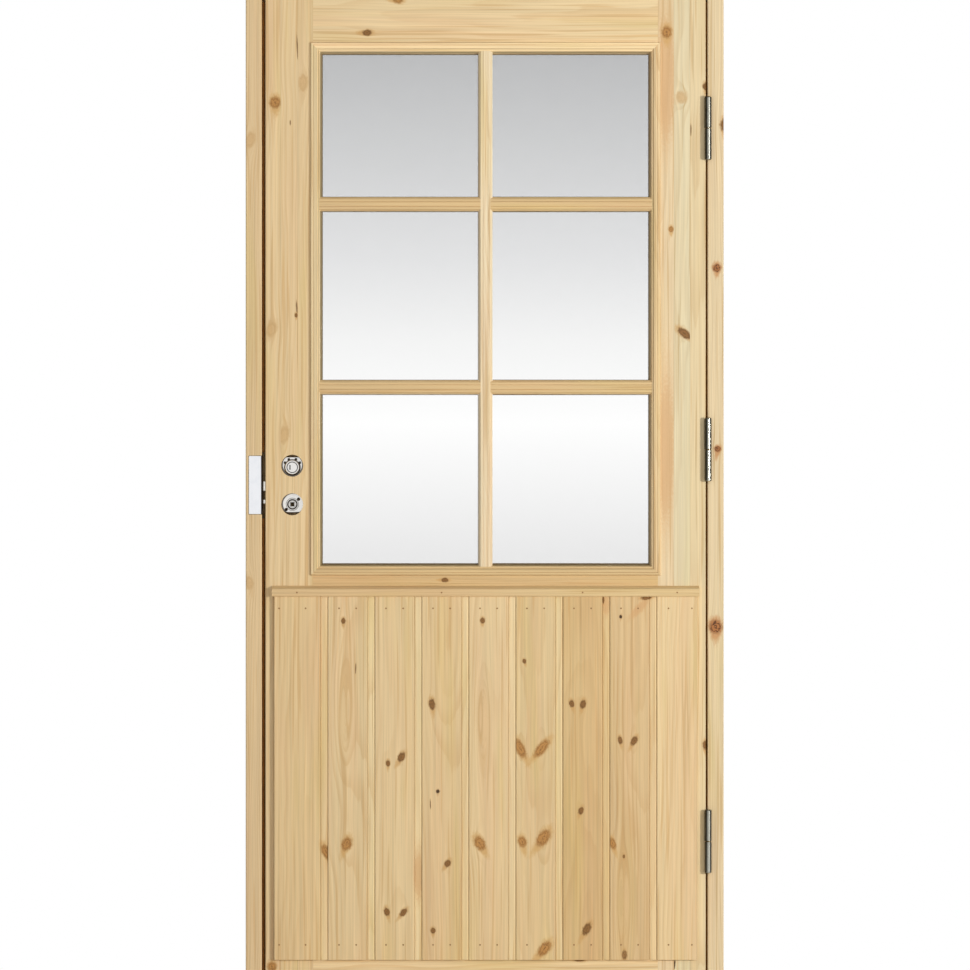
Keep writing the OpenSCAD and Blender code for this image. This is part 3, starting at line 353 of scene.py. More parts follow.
KNOT_LOOKS = {
    LIVE: KnotLook(srgb(184, 130, 66), srgb(130, 84, 34), srgb(206, 162, 98), 0.88, 0.8, 1.0, 0.6, 0.5),
    RINGED: KnotLook(srgb(172, 110, 58), srgb(74, 40, 14), srgb(192, 132, 74), 0.97, 0.8, 1.0, 0.6, 0.9),
    DEAD: KnotLook(srgb(134, 90, 40), srgb(84, 52, 18), srgb(200, 154, 92), 0.92, 0.75, 1.0, 0.3),
    PIN: KnotLook(srgb(46, 28, 10), srgb(78, 48, 20), srgb(190, 142, 90), 0.95, 0.5, 0.8),
    GHOST: KnotLook(srgb(206, 166, 112), srgb(186, 146, 92), srgb(210, 174, 122), 0.5, 0.4, 1.3),
    RESIN: KnotLook(srgb(200, 146, 92), srgb(208, 158, 104), srgb(214, 172, 120), 0.36, 0.45, 0.2),
    FLAME: KnotLook(srgb(210, 174, 120), srgb(198, 158, 104), srgb(208, 170, 114), 0.0, 0.22, 2.2),
    SLIT: KnotLook(srgb(104, 72, 38), srgb(150, 112, 66), srgb(206, 170, 120), 0.85, 0.15, 0.0),
}


# How a knot draws the grain aside, as shares of its size.
GRAIN_REACH = 1.9
GRAIN_CORE = 0.45
PUSH_SHARE = 0.62
SWELL_SHARE = 0.55
# How a knot is painted: steps outwards from its middle, where 1 is its outline, and how ragged they are.
BODY_STEP = (0.72, 1.3)
BODY_RAGGED = 0.7
HALO_STEP = (0.7, 1.7)
HALO_RAGGED = 0.8
HALO_ABOVE = 1.3
HALO_TAPER = 0.7
RIM_STEP = (0.55, 0.95)
RIM_SHARE = 0.9
RING_TURNS = 12.0
RING_RAGGED = 6.0
MOTTLE_SHARE = 1.1
CHECK_ACROSS = 0.9
CHECK_ALONG = 0.25
CHECK_RAGGED = 0.3
CHECK_STEP = (0.05, 0.2)
CHECK_END = (0.4, 0.8)


@dataclass(frozen=True)
class Knot:
    """A knot, swirl or crack: its place, half width and shape on the face, in millimetres and degrees."""

    kind: KnotKind
    across: float
    along: float
    radius: float
    stretch: float = 1.3
    tilt: float = 0.0
    tail: float = 2.0

    @property
    def look(self) -> KnotLook:
        """The colours of its kind."""
        return KNOT_LOOKS[self.kind]

    def push(self, across: Value, along: Value) -> tuple[Value, Value]:
        """How the knot pushes the grain aside.

        Args:
            across: Place across the grain.
            along: Place along the grain.

        Returns:
            The push across the grain and the swell of the growth rings, in millimetres.
        """
        beside = across - self.across
        beyond = (along - self.along) / (GRAIN_REACH * self.stretch)
        core = self.radius**2
        near = core * self.look.push / (beside * beside + beyond * beyond + GRAIN_CORE * core)
        return beside * near * PUSH_SHARE, near * self.radius * SWELL_SHARE

    def paint(
        self, sheet: Sheet, spot: tuple[Value, Value], rough_edge: Value, within: Value | float, under: Any
    ) -> Socket:
        """Lays the knot over the wood's colour.

        Args:
            sheet: The material's sheet.
            spot: Place across and along the grain.
            rough_edge: Noise that breaks the outline.
            within: Where the knot may show.
            under: The colour so far.

        Returns:
            The colour with the knot in it.
        """
        look = self.look
        turn = math.radians(self.tilt)
        beside = spot[0] - self.across
        beyond = spot[1] - self.along
        wide = (beside * math.cos(turn) - beyond * math.sin(turn)) / self.radius
        tall = (beside * math.sin(turn) + beyond * math.cos(turn)) / (self.radius * self.stretch)
        ratio = (wide * wide + tall * tall).root() + rough_edge * BODY_RAGGED
        drop = (0.0 - tall).above_zero()
        trail = tall.above_zero() / HALO_ABOVE + drop / self.tail
        halo = (wide * wide * (drop * HALO_TAPER + 1.0) + trail * trail).root() + rough_edge * HALO_RAGGED
        colour = sheet.blend(halo.fall(*HALO_STEP) * look.halo_share * within, under, look.halo)
        dark = ratio.rise(*RIM_STEP) * RIM_SHARE
        dark = dark + (ratio * RING_TURNS + rough_edge * RING_RAGGED).sine() * look.rings
        dark = dark + rough_edge * MOTTLE_SHARE
        check = (wide * CHECK_ACROSS + tall * CHECK_ALONG + rough_edge * CHECK_RAGGED).size()
        check = check.fall(*CHECK_STEP) * ratio.fall(*CHECK_END)
        body = sheet.blend(dark + check * look.check, look.heart, look.rim)
        return sheet.blend(ratio.fall(*BODY_STEP) * look.body_share * within, colour, body)


@dataclass(frozen=True)
class Line:
    """A line of painted shade along a moulding: its middle and half width in millimetres, and how dark it is."""

    across: float
    half: float
    share: float


@dataclass(frozen=True)
class Fibre:
    """Noise drawn out along the grain: its cells a millimetre across and along it, and its finer layers."""

    across: float
    along: float
    detail: float = 2.0


class Figure:
    """The layers of noise in the figure of the wood."""

    WANDER = Fibre(0.011, 0.0016)
    BOW = Fibre(0.006, 0.0021)
    RING = Fibre(0.05, 0.004)
    STREAK = Fibre(0.13, 0.002, 3.0)
    THREAD = Fibre(0.30, 0.003)
    FINE = Fibre(0.9, 0.010)
    SEAM = Fibre(0.22, 0.0035, 1.0)
    BLUSH = Fibre(0.022, 0.0018)
    STRAW = Fibre(0.03, 0.0026)
    ROUGH = Fibre(0.35, 0.2)


@dataclass(frozen=True)
class Wood:
    """A length of planed wood, cut from a stem whose pith lies behind its face.

    Places and lengths are in millimetres. A share says how strongly a feature shows, a step where it sets in.
    """

    name: str
    grain: Grain
    seed: float
    pith: tuple[float, float]
    ring: float = 4.2
    lean: float = 12.0
    contrast: float = 0.36
    tone: float = 1.0
    pale: Colour = srgb(231, 205, 158)
    late: Colour = srgb(203, 161, 103)
    blush: Colour = srgb(226, 186, 142)
    straw: Colour = srgb(219, 193, 128)
    line_shade: Colour = srgb(112, 92, 58)
    wash: Colour = WHITE
    glue_lines: tuple[float, ...] = ()
    strip_tints: tuple[Colour, ...] = ()
    riser: tuple[float, float] | None = None
    shelf_end: float | None = None
    shelf_tint: Colour = (1.0, 1.04, 1.07, 1.0)
    lines: tuple[Line, ...] = ()
    knots: tuple[Knot, ...] = ()
    wander: float = 13.0
    bow: float = 26.0
    ring_wobble: float = 1.4
    strip_seed: float = 3.7
    strip_pith: float = 43.0
    late_from: float = 0.25
    late_peak: float = 0.92
    year_range: float = 0.7
    blush_step: tuple[float, float] = (0.46, 0.74)
    blush_share: float = 0.4
    straw_step: tuple[float, float] = (0.48, 0.76)
    straw_share: float = 0.5
    straw_offset: float = 400.0
    seam_step: tuple[float, float] = (0.58, 0.70)
    seam_share: float = 0.5
    streak_share: float = 0.26
    thread_share: float = 0.32
    fine_share: float = 0.22
    glue_step: tuple[float, float] = (0.2, 1.3)
    glue_share: float = 0.10
    riser_shade_share: float = 0.26
    shelf_share: float = 0.06
    shelf_end_light_step: tuple[float, float] = (-3.0, -2.2)
    shelf_end_light_share: float = 0.34
    knot_front: tuple[float, float] = (-44.0, -30.0)
    knot_back: tuple[float, float] = (26.0, 42.0)
    roughness: float = 0.62
    late_gloss: float = 0.14
    relief: float = 0.25

    def material(self) -> bpy.types.Material:
        """Builds the wood: rings round the pith, fibres, tone bands, painted shade in the risers and along
        mouldings, painted light at the shelf ends, and knots.

        Returns:
            The material.
        """
        material, sheet = new_sheet(self.name)
        x, depth, z = sheet.place_mm()
        across, along = (x, z) if self.grain is Grain.UPRIGHT else (z, x)
        strip = self._strip(across)
        shift = self.seed if strip is None else strip * self.strip_seed + self.seed

        def fibre(cells: Fibre, line: Value) -> Value:
            """One layer of noise, drawn out along the grain."""
            spot = (line * cells.across + shift, depth * cells.across + self.seed, along * cells.along + shift)
            return sheet.noise(spot, cells.detail)

        line = across + (fibre(Figure.WANDER, across) - 0.5) * self.wander
        lift = along * (self.lean / MM) + (fibre(Figure.BOW, across) - 0.5) * self.bow
        for knot in self.knots:
            side, swell = knot.push(across, along)
            line = line - side
            lift = lift + swell

        pith_across, pith_depth = self.pith
        off_pith = line - (pith_across if strip is None else strip * self.strip_pith + pith_across)
        behind = depth + lift - pith_depth
        radius = (off_pith * off_pith + behind * behind).root()
        phase = radius / self.ring + fibre(Figure.RING, line) * self.ring_wobble
        place = phase.part()
        number = phase.floor() + self.seed
        year = sheet.node("ShaderNodeTexWhiteNoise", {"noise_dimensions": "1D"}, {"W": number})
        strength = Value(sheet, year.outputs[0]) * self.year_range + (1.0 - self.year_range)
        latewood = place.rise(self.late_from, self.late_peak) * place.fall(self.late_peak, 1.0) * strength

        blush = fibre(Figure.BLUSH, across).rise(*self.blush_step)
        straw = fibre(Figure.STRAW, line + self.straw_offset).rise(*self.straw_step)
        seam = fibre(Figure.SEAM, line).rise(*self.seam_step)
        colour = sheet.blend(latewood * self.contrast, self.pale, self.late)
        colour = sheet.blend(blush * self.blush_share, colour, self.blush)
        colour = sheet.blend(straw * self.straw_share, colour, self.straw)
        colour = sheet.blend(seam * self.seam_share, colour, self.late)
        fine = fibre(Figure.FINE, line)
        shade = (fibre(Figure.STREAK, line) - 0.5) * self.streak_share
        shade = shade + (fibre(Figure.THREAD, line) - 0.5) * self.thread_share
        shade = shade + (fine - 0.5) * self.fine_share + self.tone
        if strip is not None:
            for index, tint in enumerate(self.strip_tints):
                colour = sheet.blend(self._in_strip(strip, index), colour, tint, "MULTIPLY")
            for edge in self.glue_lines:
                shade = shade - (across - edge).size().fall(*self.glue_step) * self.glue_share
        if self.riser is not None:
            face, shelf = self.riser
            # Painted shade: the riser between a board's face and its shelf is darkened; the shelf is made a
            # little lighter and cooler.
            on_riser = depth.rise(face + 0.2, face + 0.6) * depth.fall(shelf - 0.5, shelf - 0.1)
            on_shelf = depth.rise(shelf - 0.15, shelf - 0.02)
            shade = shade - on_riser * self.riser_shade_share + on_shelf * self.shelf_share
            colour = sheet.blend(on_shelf, colour, self.shelf_tint, "MULTIPLY")
            # Painted light: the last few millimetres of the shelf before the next board are lightened, lifting
            # the shadow that the next board's edge casts on them.
            if self.shelf_end is not None:
                beside = (across - self.shelf_end).rise(*self.shelf_end_light_step)
                shade = shade + beside * on_shelf * self.shelf_end_light_share
        colour = sheet.blend(1.0, sheet.lighten(colour, shade), self.wash, "MULTIPLY")

        # Painted shade: the listed lines darken the wood along the steps and the glass-side slope of a moulding.
        for mark in self.lines:
            near = (across - mark.across).size().fall(mark.half - 0.3, mark.half + 0.5)
            colour = sheet.blend(near * mark.share, colour, self.line_shade)

        rough_edge = fibre(Figure.ROUGH, across) - 0.5
        near_face = 1.0 - depth.rise(*self.knot_front) * depth.fall(*self.knot_back)
        for knot in self.knots:
            within = near_face * self._within(knot, strip)
            colour = knot.paint(sheet, (across, along), rough_edge, within, colour)

        sheet.surface(
            {
                "Base Color": colour,
                "Roughness": self.roughness - latewood * self.late_gloss,
                "Specular IOR Level": 0.32,
                "Normal": sheet.bump(latewood * 0.6 + fine * 0.4, self.relief, 0.35),
            }
        )
        return material

    def _strip(self, across: Value) -> Value | None:
        """Finds the glued strip that a point is in.

        Args:
            across: Place across the grain.

        Returns:
            The strip's number from 0, or None for solid wood.
        """
        if not self.glue_lines:
            return None
        steps = [across > edge for edge in self.glue_lines]
        return sum(steps[1:], steps[0])

    @staticmethod
    def _in_strip(strip: Value, number: int) -> Value:
        """1 in the glued strip of that number, 0 in the others."""
        return (strip - float(number)).size().fall(0.2, 0.8)

    def _within(self, knot: Knot, strip: Value | None) -> Value | float:
        """Keeps a knot to the glued strip that it grew in.

        Args:
            knot: The knot.
            strip: The strip's number at each point, or None for solid wood.

        Returns:
            1 where the knot may show, 0 elsewhere.
        """
        if strip is None:
            return 1.0
        return self._in_strip(strip, sum(knot.across > edge for edge in self.glue_lines))


@dataclass(frozen=True)
class Ring:
    """A dark ring on a metal face, for painted shade and for dark joint lines: its middle and two radii, in
    millimetres, and how dark it is.
    """

    x: float
    z: float
    inner: float
    outer: float
    share: float = 0.85


@dataclass(frozen=True)
class Barrel:
    """The flanks of an upright round piece, darkened as painted shade: its axis and radius in millimetres."""

    x: float
    radius: float


@dataclass(frozen=True)
class Metal:
    """A metal surface with fine marks in it; its cells and steps are in millimetres."""

    name: str
    colour: Colour
    dull: Colour
    roughness: float = 0.25
    spread: float = 0.12
    cell_mm: float = 6.0
    metallic: float = 1.0
    painted_shade_from: float | None = None
    rings: tuple[Ring, ...] = ()
    barrel: Barrel | None = None
    ring_dark: Colour = srgb(62, 50, 34)
    flank_shade: Colour = srgb(58, 52, 38)
    recess_dark: Colour = srgb(46, 40, 32)
    scratch_across: float = 2.6
    scratch_along: float = 0.18
    ring_soft: float = 0.4
    recess_soft: float = 0.6
    recess_share: float = 0.92
    flank_shade_share: float = 0.9

    def material(self) -> bpy.types.Material:
        """Builds the metal: faint tarnish, fine scratches, uneven gloss, dark rings of painted shade and of
        joint lines, and painted shade on round flanks and in recesses.

        Returns:
            The material.
        """
        material, sheet = new_sheet(self.name)
        x, y, z = sheet.place_mm()
        cloud = sheet.noise((x / self.cell_mm, y / self.cell_mm, z / self.cell_mm), 4.0, 0.6)
        scratch = sheet.noise((x * self.scratch_across, y * self.scratch_across, z * self.scratch_along))
        colour = sheet.blend(cloud.rise(0.40, 0.75) * 0.3 + (scratch - 0.5) * 0.25, self.colour, self.dull)
        # Dark rings: painted shade round rims, and dark joint lines round fitted parts.
        for ring in self.rings:
            beside, over = x - ring.x, z - ring.z
            radius = (beside * beside + over * over).root()
            outside = radius.rise(ring.inner - self.ring_soft, ring.inner + self.ring_soft)
            inside = radius.fall(ring.outer - self.ring_soft, ring.outer + self.ring_soft)
            colour = sheet.blend(outside * inside * ring.share, colour, self.ring_dark)
        # Painted shade: the flanks of a round piece, such as a hinge knuckle, are darkened.
        if self.barrel is not None:
            side = (x - self.barrel.x) / self.barrel.radius
            flank = side.fall(-0.55, 0.1) * self.flank_shade_share + side.rise(0.45, 0.85) * self.flank_shade_share
            flank = flank * side.size().fall(1.05, 1.25) * (cloud * 0.4 + 0.8)
            colour = sheet.blend(flank, colour, self.flank_shade)
        # Painted shade: everything deeper than the given depth is darkened, as in the lock's recesses and gaps.
        if self.painted_shade_from is not None:
            sunk = y.rise(self.painted_shade_from, self.painted_shade_from + self.recess_soft)
            colour = sheet.blend(sunk * self.recess_share, colour, self.recess_dark)
        sheet.surface(
            {
                "Base Color": colour,
                "Metallic": self.metallic,
                "Roughness": (cloud - 0.5) * self.spread + (scratch - 0.5) * 0.08 + self.roughness,
                "Normal": sheet.bump(scratch * 0.7 + cloud * 0.3, 0.02, 0.12),
            }
        )
        return material


@dataclass(frozen=True)
class Filler:
    """A dull moulded or foamed stuff, such as rubber, plastic or foam."""

    name: str
    colour: Colour
    worn: Colour
    roughness: float
    cell_mm: float
    relief_mm: float = 0.05
    skin_cells: float = 1.7

    def material(self) -> bpy.types.Material:
        """Builds the stuff: mottled colour and a fine skin.

        Returns:
            The material.
        """
        material, sheet = new_sheet(self.name)
        x, y, z = sheet.place_mm()
        mottle = sheet.noise((x / self.cell_mm, y / self.cell_mm, z / self.cell_mm), 5.0, 0.6)
        skin = sheet.noise((x * self.skin_cells, y * self.skin_cells, z * self.skin_cells))
        sheet.surface(
            {
                "Base Color": sheet.blend(mottle.rise(0.35, 0.7), self.colour, self.worn),
                "Roughness": (mottle - 0.5) * 0.2 + self.roughness,
                "Specular IOR Level": 0.3,
                "Normal": sheet.bump(skin * 0.5 + mottle * 0.5, self.relief_mm, 0.5),
            }
        )
        return material


@dataclass(frozen=True)
class PaneRamp:
    """Clear glass whose colour follows a ramp by height in millimetres; on the outer pane the grey ramp is a
    painted reflection.
    """

    name: str
    low: float
    high: float
    stops: tuple[tuple[float, Colour], ...]

    def material(self) -> bpy.types.Material:
        """Builds the glass.

        Returns:
            The material.
        """
        material, sheet = new_sheet(self.name)
        _, _, z = sheet.place_mm()
        height = (z - self.low) / (self.high - self.low)
        tint = sheet.node("ShaderNodeValToRGB", {"stops": self.stops}, {"Fac": height}).outputs[0]
        sheet.surface(
            {
                "Base Color": tint,
                "Roughness": 0.0,
                "IOR": 1.5,
                "Transmission Weight": 1.0,
            }
        )
        return material


@dataclass
class Base:
    """Points and edges for a trim, in metres."""

    points: list[tuple[float, float, float]] = field(default_factory=list)
    edges: list[tuple[int, int]] = field(default_factory=list)

    def path(self, spots: Iterable[tuple[float, float]], y: float, closed: bool = False) -> None:
        """Adds a line of edges in a plane of the door.

        Args:
            spots: X and Z of its corners.
            y: The plane's Y.
            closed: Whether the last corner joins the first.
        """
        start = len(self.points)
        self.points += [(x, y, z) for x, z in spots]
        self.edges += [(i, i + 1) for i in range(start, len(self.points) - 1)]
        if closed:
            self.edges.append((len(self.points) - 1, start))


class Trim:
    """A geometry tree that turns the edges or the points of a base mesh into one piece of trim."""

    HEAD_SIDES = 16

    def __init__(self, name: str, sizes: dict[str, float]) -> None:
        """Starts the tree.

        Args:
            name: Name of the tree and of the piece.
            sizes: The tree's named sizes, in metres.
        """
        self.name = name
        self.sizes = sizes
        self.tree = bpy.data.node_groups.new(name, "GeometryNodeTree")
        self.sheet = Sheet(self.tree)
        self._socket("Geometry", "Geometry")
        self.keys = {key: self._socket(key, "Float") for key in sizes}
        self.finish_key = self._socket("Finish", "Material")
        self._socket("Geometry", "Geometry", "OUTPUT")
        self.entry = self.sheet.node("NodeGroupInput")

    def _socket(self, name: str, kind: str, way: str = "INPUT") -> str:
        """Adds a socket to the tree's own inputs or outputs and gives its identifier."""
        return self.tree.interface.new_socket(name, in_out=way, socket_type=f"NodeSocket{kind}").identifier

    def node(self, kind: str, settings: dict[str, Any], sockets: dict[str, Any]) -> Socket:
        """Adds one node of any kind and gives its first output."""
        return self.sheet.node(kind, settings, sockets).outputs[0]

    def sweep(self) -> "Trim":
        """Sweeps a rectangle, Depth by Width, along the base's edges.

        Returns:
            The trim itself.
        """
        path = self.node("GeometryNodeMeshToCurve", {}, {"Mesh": self.entry.outputs["Geometry"]})
        facing = {"Curve": path, "Normal": (0.0, -1.0, 0.0)}
        path = self.node("GeometryNodeSetCurveNormal", {"mode": "FREE"}, facing)
        sides = {"Width": self.entry.outputs["Depth"], "Height": self.entry.outputs["Width"]}
        section = self.node("GeometryNodeCurvePrimitiveQuadrilateral", {}, sides)
        swept = {"Curve": path, "Profile Curve": section, "Fill Caps": True}
        return self._end(self.node("GeometryNodeCurveToMesh", {}, swept))

    def studs(self) -> "Trim":
        """Sets a round head, Radius by Depth, on every point of the base, facing along Y.

        Returns:
            The trim itself.
        """
        sizes = {key: self.entry.outputs[key] for key in ("Radius", "Depth")}
        head = self.node("GeometryNodeMeshCylinder", {}, {**sizes, "Vertices": self.HEAD_SIDES})
        facing = (math.pi / 2, 0.0, 0.0)
        placed = {"Points": self.entry.outputs["Geometry"], "Instance": head, "Rotation": facing}
        return self._end(self.node("GeometryNodeInstanceOnPoints", {}, placed))

    def _end(self, shape: Socket) -> "Trim":
        """Makes the result real and gives it the finish.

        Args:
            shape: The tree's shape so far.

        Returns:
            The trim itself.
        """
        real = self.node("GeometryNodeRealizeInstances", {}, {"Geometry": shape})
        dressed = {"Geometry": real, "Material": self.entry.outputs["Finish"]}
        result = self.node("GeometryNodeSetMaterial", {}, dressed)
        self.sheet.node("NodeGroupOutput", {}, {0: result})
        return self

    def build(self, base: Base, finish: bpy.types.Material, body: str, slot: str) -> bpy.types.Object:
        """Runs the tree once and keeps its result as a plain mesh on a body.

        Args:
            base: Points and edges that the tree works on.
            finish: The trim's material.
            body: The body that the trim rides on.
            slot: The record's material slot; not used.

        Returns:
            The piece.
        """
        mesh = bpy.data.meshes.new(f"{self.name}_base")
        mesh.from_pydata(base.points, base.edges, [])
        source = bpy.data.objects.new(f"{self.name}_base", mesh)
        bpy.context.scene.collection.objects.link(source)
        modifier = source.modifiers.new(self.name, "NODES")
        modifier.node_group = self.tree
        for key, value in self.sizes.items():
            modifier[self.keys[key]] = value
        modifier[self.finish_key] = finish
        graph = bpy.context.evaluated_depsgraph_get()
        result = bpy.data.meshes.new_from_object(source.evaluated_get(graph))
        source.modifiers.remove(modifier)
        bpy.data.objects.remove(source)
        result.name = self.name
        piece = bpy.data.objects.new(self.name, result)
        bpy.context.scene.collection.objects.link(piece)
        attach(piece, body)
        LOG.info("built %s: %d faces", self.name, len(result.polygons))
        return piece


class Finish(Protocol):
    """What every finish can do."""

    def material(self) -> bpy.types.Material:
        """Builds the finish's material."""


def dress(finish: Finish, *nodes: str) -> None:
    """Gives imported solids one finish.

    Args:
        finish: The finish.
        nodes: The solids' names.
    """
    material = finish.material()
    for name in nodes:
        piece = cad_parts[name]
        piece.data.materials.clear()
        piece.data.materials.append(material)
        LOG.info("dressed %s in %s", name, material.name)


@dataclass
class FrameSet:
    """The two jambs, the head, the threshold and the seals between frame and leaf."""

    gasket_y: float = -0.0345
    gasket_t: float = 0.003
    gasket_ends: float = 0.008
    lock_gasket_w: float = 0.0046
    hinge_gasket_w: float = 0.0026
    rebate_face: float = 0.415
    gap_shade_w: float = 0.0008
    gap_shade_t: float = 0.0008
    gap_shade_clear: float = 0.0001
    strike_knots: tuple[Knot, ...] = (
        Knot(GHOST, -437, 1587, 9, 1.6, 20),
        Knot(GHOST, -439, 763, 8, 1.5, -15),
    )
    hinge_knots: tuple[Knot, ...] = (
        Knot(DEAD, 447, 1615, 8, 1.5),
        Knot(RINGED, 432, 1349, 7.5, 1.0),
        Knot(RINGED, 434, 1012, 6, 0.9, 10, 3.2),
        Knot(RINGED, 430, 681, 12, 1.0),
    )

    def dress(self) -> None:
        """Gives the frame its wood, its seals and a dark strip of painted shade round the strike plate."""
        left = Wood(
            "strike_jamb_pine", Grain.UPRIGHT, seed=3.1, pith=(-520, 40), ring=3.4, pale=srgb(226, 197, 148),
            wash=(0.96, 0.96, 1.0, 1.0), knots=self.strike_knots,
        )
        right = Wood(
            "hinge_jamb_pine", Grain.UPRIGHT, seed=7.7, pith=(540, 50), ring=3.8, pale=srgb(236, 210, 168),
            wash=(0.89, 0.92, 0.92, 1.0), knots=self.hinge_knots,
        )
        oak = Wood(
            "threshold_oak", Grain.LEVEL, seed=9.2, pith=(-60, 30), ring=1.9, contrast=0.6,
            pale=srgb(190, 146, 94), late=srgb(139, 97, 55), blush=srgb(176, 124, 78),
            straw=srgb(182, 140, 84),
        )
        dress(left, "strike_jamb")
        dress(right, "hinge_jamb")
        dress(Wood("head_pine", Grain.LEVEL, seed=5.3, pith=(1960, 45)), "head")
        dress(oak, "threshold")
        seal = Filler("seal_rubber", srgb(86, 66, 36), srgb(70, 54, 30), roughness=0.7, cell_mm=5.0)
        dress(seal, "weather_seal")
        self._gaskets()
        self._shade_strike_gap()

    def _gaskets(self) -> None:
        """Runs a brown gasket down the rebates beside the leaf, clear of the strike and the leaf's swing."""
        brown = Filler("gasket_rubber", srgb(140, 90, 24), srgb(120, 76, 18), roughness=0.7, cell_mm=5.0)
        rubber = brown.material()
        stile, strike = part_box("lock_stile"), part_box("strike_plate")
        foot, top = stile[0].z + self.gasket_ends, stile[1].z - self.gasket_ends
        lock_x = -self.rebate_face + self.lock_gasket_w / 2
        hinge_x = self.rebate_face - self.hinge_gasket_w / 2
        wide, narrow = Base(), Base()
        for z0, z1 in ((foot, strike[0].z - self.gasket_ends), (strike[1].z + self.gasket_ends, top)):
            wide.path([(lock_x, z0), (lock_x, z1)], self.gasket_y)
        narrow.path([(hinge_x, foot), (hinge_x, top)], self.gasket_y)
        lock_side = Trim("lock_side_gasket", {"Width": self.lock_gasket_w, "Depth": self.gasket_t}).sweep()
        lock_side.build(wide, rubber, "frame", "seal_rubber")
        hinge_side = Trim("hinge_side_gasket", {"Width": self.hinge_gasket_w, "Depth": self.gasket_t}).sweep()
        hinge_side.build(narrow, rubber, "frame", "seal_rubber")

    def _shade_strike_gap(self) -> None:
        """Fills the gap round the strike plate with a dark strip, a little below the face: painted shade in the
        gap.
        """
        low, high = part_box("strike_plate")
        reach = self.gap_shade_w / 2 + self.gap_shade_clear
        left, foot, top = low.x - reach, low.z - reach, high.z + reach
        base = Base()
        base.path([(high.x, foot), (left, foot), (left, top), (high.x, top)], low.y + self.gap_shade_t)
        # Painted shade: a dark strip stands in the shaded gap round the strike plate.
        dark = Filler("painted_gap_shade", srgb(58, 44, 24), srgb(44, 34, 18), roughness=0.8, cell_mm=4.0)
        strip = Trim("strike_gap_shade", {"Width": self.gap_shade_w, "Depth": self.gap_shade_t}).sweep()
        strip.build(base, dark.material(), "frame", "seal_rubber")


@dataclass
class LeafFrame:
    """Stiles and rails of the leaf, glued from strips, with what they hold inside."""

    lock_lines: tuple[float, ...] = (-379.3, -347.6)
    hinge_lines: tuple[float, ...] = (352.5, 382.3)
    hinge_tints: tuple[Colour, ...] = (
        (0.90, 0.90, 0.90, 1.0), (0.87, 0.94, 0.97, 1.0), (0.88, 0.89, 0.85, 1.0),
    )
    lock_knots: tuple[Knot, ...] = (
        Knot(LIVE, -390, 1657, 10, 1.05),
        Knot(GHOST, -338, 1694, 8.5, 1.7, 5),
        Knot(SLIT, -362, 1619, 1.2, 4.0),
        Knot(SLIT, -349, 1762, 1.3, 18.0, -2),
        Knot(GHOST, -397, 1235, 9, 1.4, 25),
        Knot(SLIT, -350, 1276, 1.5, 8.0, -3),
        Knot(DEAD, -351, 1261, 2.6, 1.5),
        Knot(GHOST, -374, 1038, 9, 1.8, 15),
        Knot(LIVE, -396, 48, 8, 1.1),
    )
    hinge_knots: tuple[Knot, ...] = (
        Knot(RESIN, 337, 1700, 17, 6.0, 0, 1.2),
        Knot(RESIN, 337, 1010, 15, 8.0, 0, 1.2),
        Knot(LIVE, 339, 1788, 9, 1.2),
        Knot(LIVE, 347, 1421, 4.5, 1.2),
        Knot(GHOST, 366, 1667, 11, 0.8, 60),
        Knot(DEAD, 372, 1227, 7, 2.0, -52),
        Knot(SLIT, 384, 1606, 1.2, 9.0),
        Knot(DEAD, 411, 1687, 5, 1.4),
        Knot(DEAD, 411, 461, 5, 1.6),
        Knot(PIN, 353, 51, 1.8, 5.0, 8),
    )
    top_knots: tuple[Knot, ...] = (
        Knot(DEAD, 1787, -219, 5.5, 1.5),
        Knot(LIVE, 1849, -161, 7, 1.3),
    )
    middle_knots: tuple[Knot, ...] = (Knot(DEAD, 768, -74, 4.0, 1.6),)
    bottom_knots: tuple[Knot, ...] = (Knot(DEAD, 62, 176, 4.5, 2.2),)

    def dress(self) -> None:
        """Gives the stiles, the rails and the hidden pieces their finishes."""
        left = Wood(
            "lock_stile_pine", Grain.UPRIGHT, seed=11.4, pith=(-470, 70), ring=4.4, pale=srgb(228, 200, 153),
            glue_lines=self.lock_lines, knots=self.lock_knots,
        )
        right = Wood(
            "hinge_stile_pine", Grain.UPRIGHT, seed=17.9, pith=(300, 70), ring=5.2, contrast=0.3,
            pale=srgb(238, 214, 172), blush=srgb(234, 204, 160), straw=srgb(232, 208, 158),
            glue_lines=self.hinge_lines, strip_tints=self.hinge_tints, knots=self.hinge_knots,
        )
        top = Wood("top_rail_pine", Grain.LEVEL, seed=23.5, pith=(1822, 60), ring=4.8, knots=self.top_knots)
        middle = Wood(
            "middle_rail_pine", Grain.LEVEL, seed=29.1, pith=(660, 50), ring=3.6, wash=(0.86, 0.78, 0.67, 1.0),
            knots=self.middle_knots,
        )
        bottom = Wood(
            "bottom_rail_pine", Grain.LEVEL, seed=31.3, pith=(20, 50), ring=3.8, knots=self.bottom_knots
        )
        panel = Wood("inner_panel_pine", Grain.UPRIGHT, seed=37.9, pith=(40, -70), ring=4.6)
        dowel = Wood(
            "dowel_birch", Grain.LEVEL, seed=41.3, pith=(900, 0), ring=2.2, contrast=0.2,
            pale=srgb(232, 214, 180),
        )
        foam = Filler("core_foam", srgb(236, 238, 240), srgb(220, 224, 228), 0.85, cell_mm=3.0, relief_mm=0.3)
        dress(left, "lock_stile")
        dress(right, "hinge_stile")
        dress(top, "top_rail")
        dress(middle, "middle_rail")
        dress(bottom, "bottom_rail")
        dress(panel, "inner_panel")
        dress(dowel, "rail_dowels")
        dress(foam, "insulation_core")


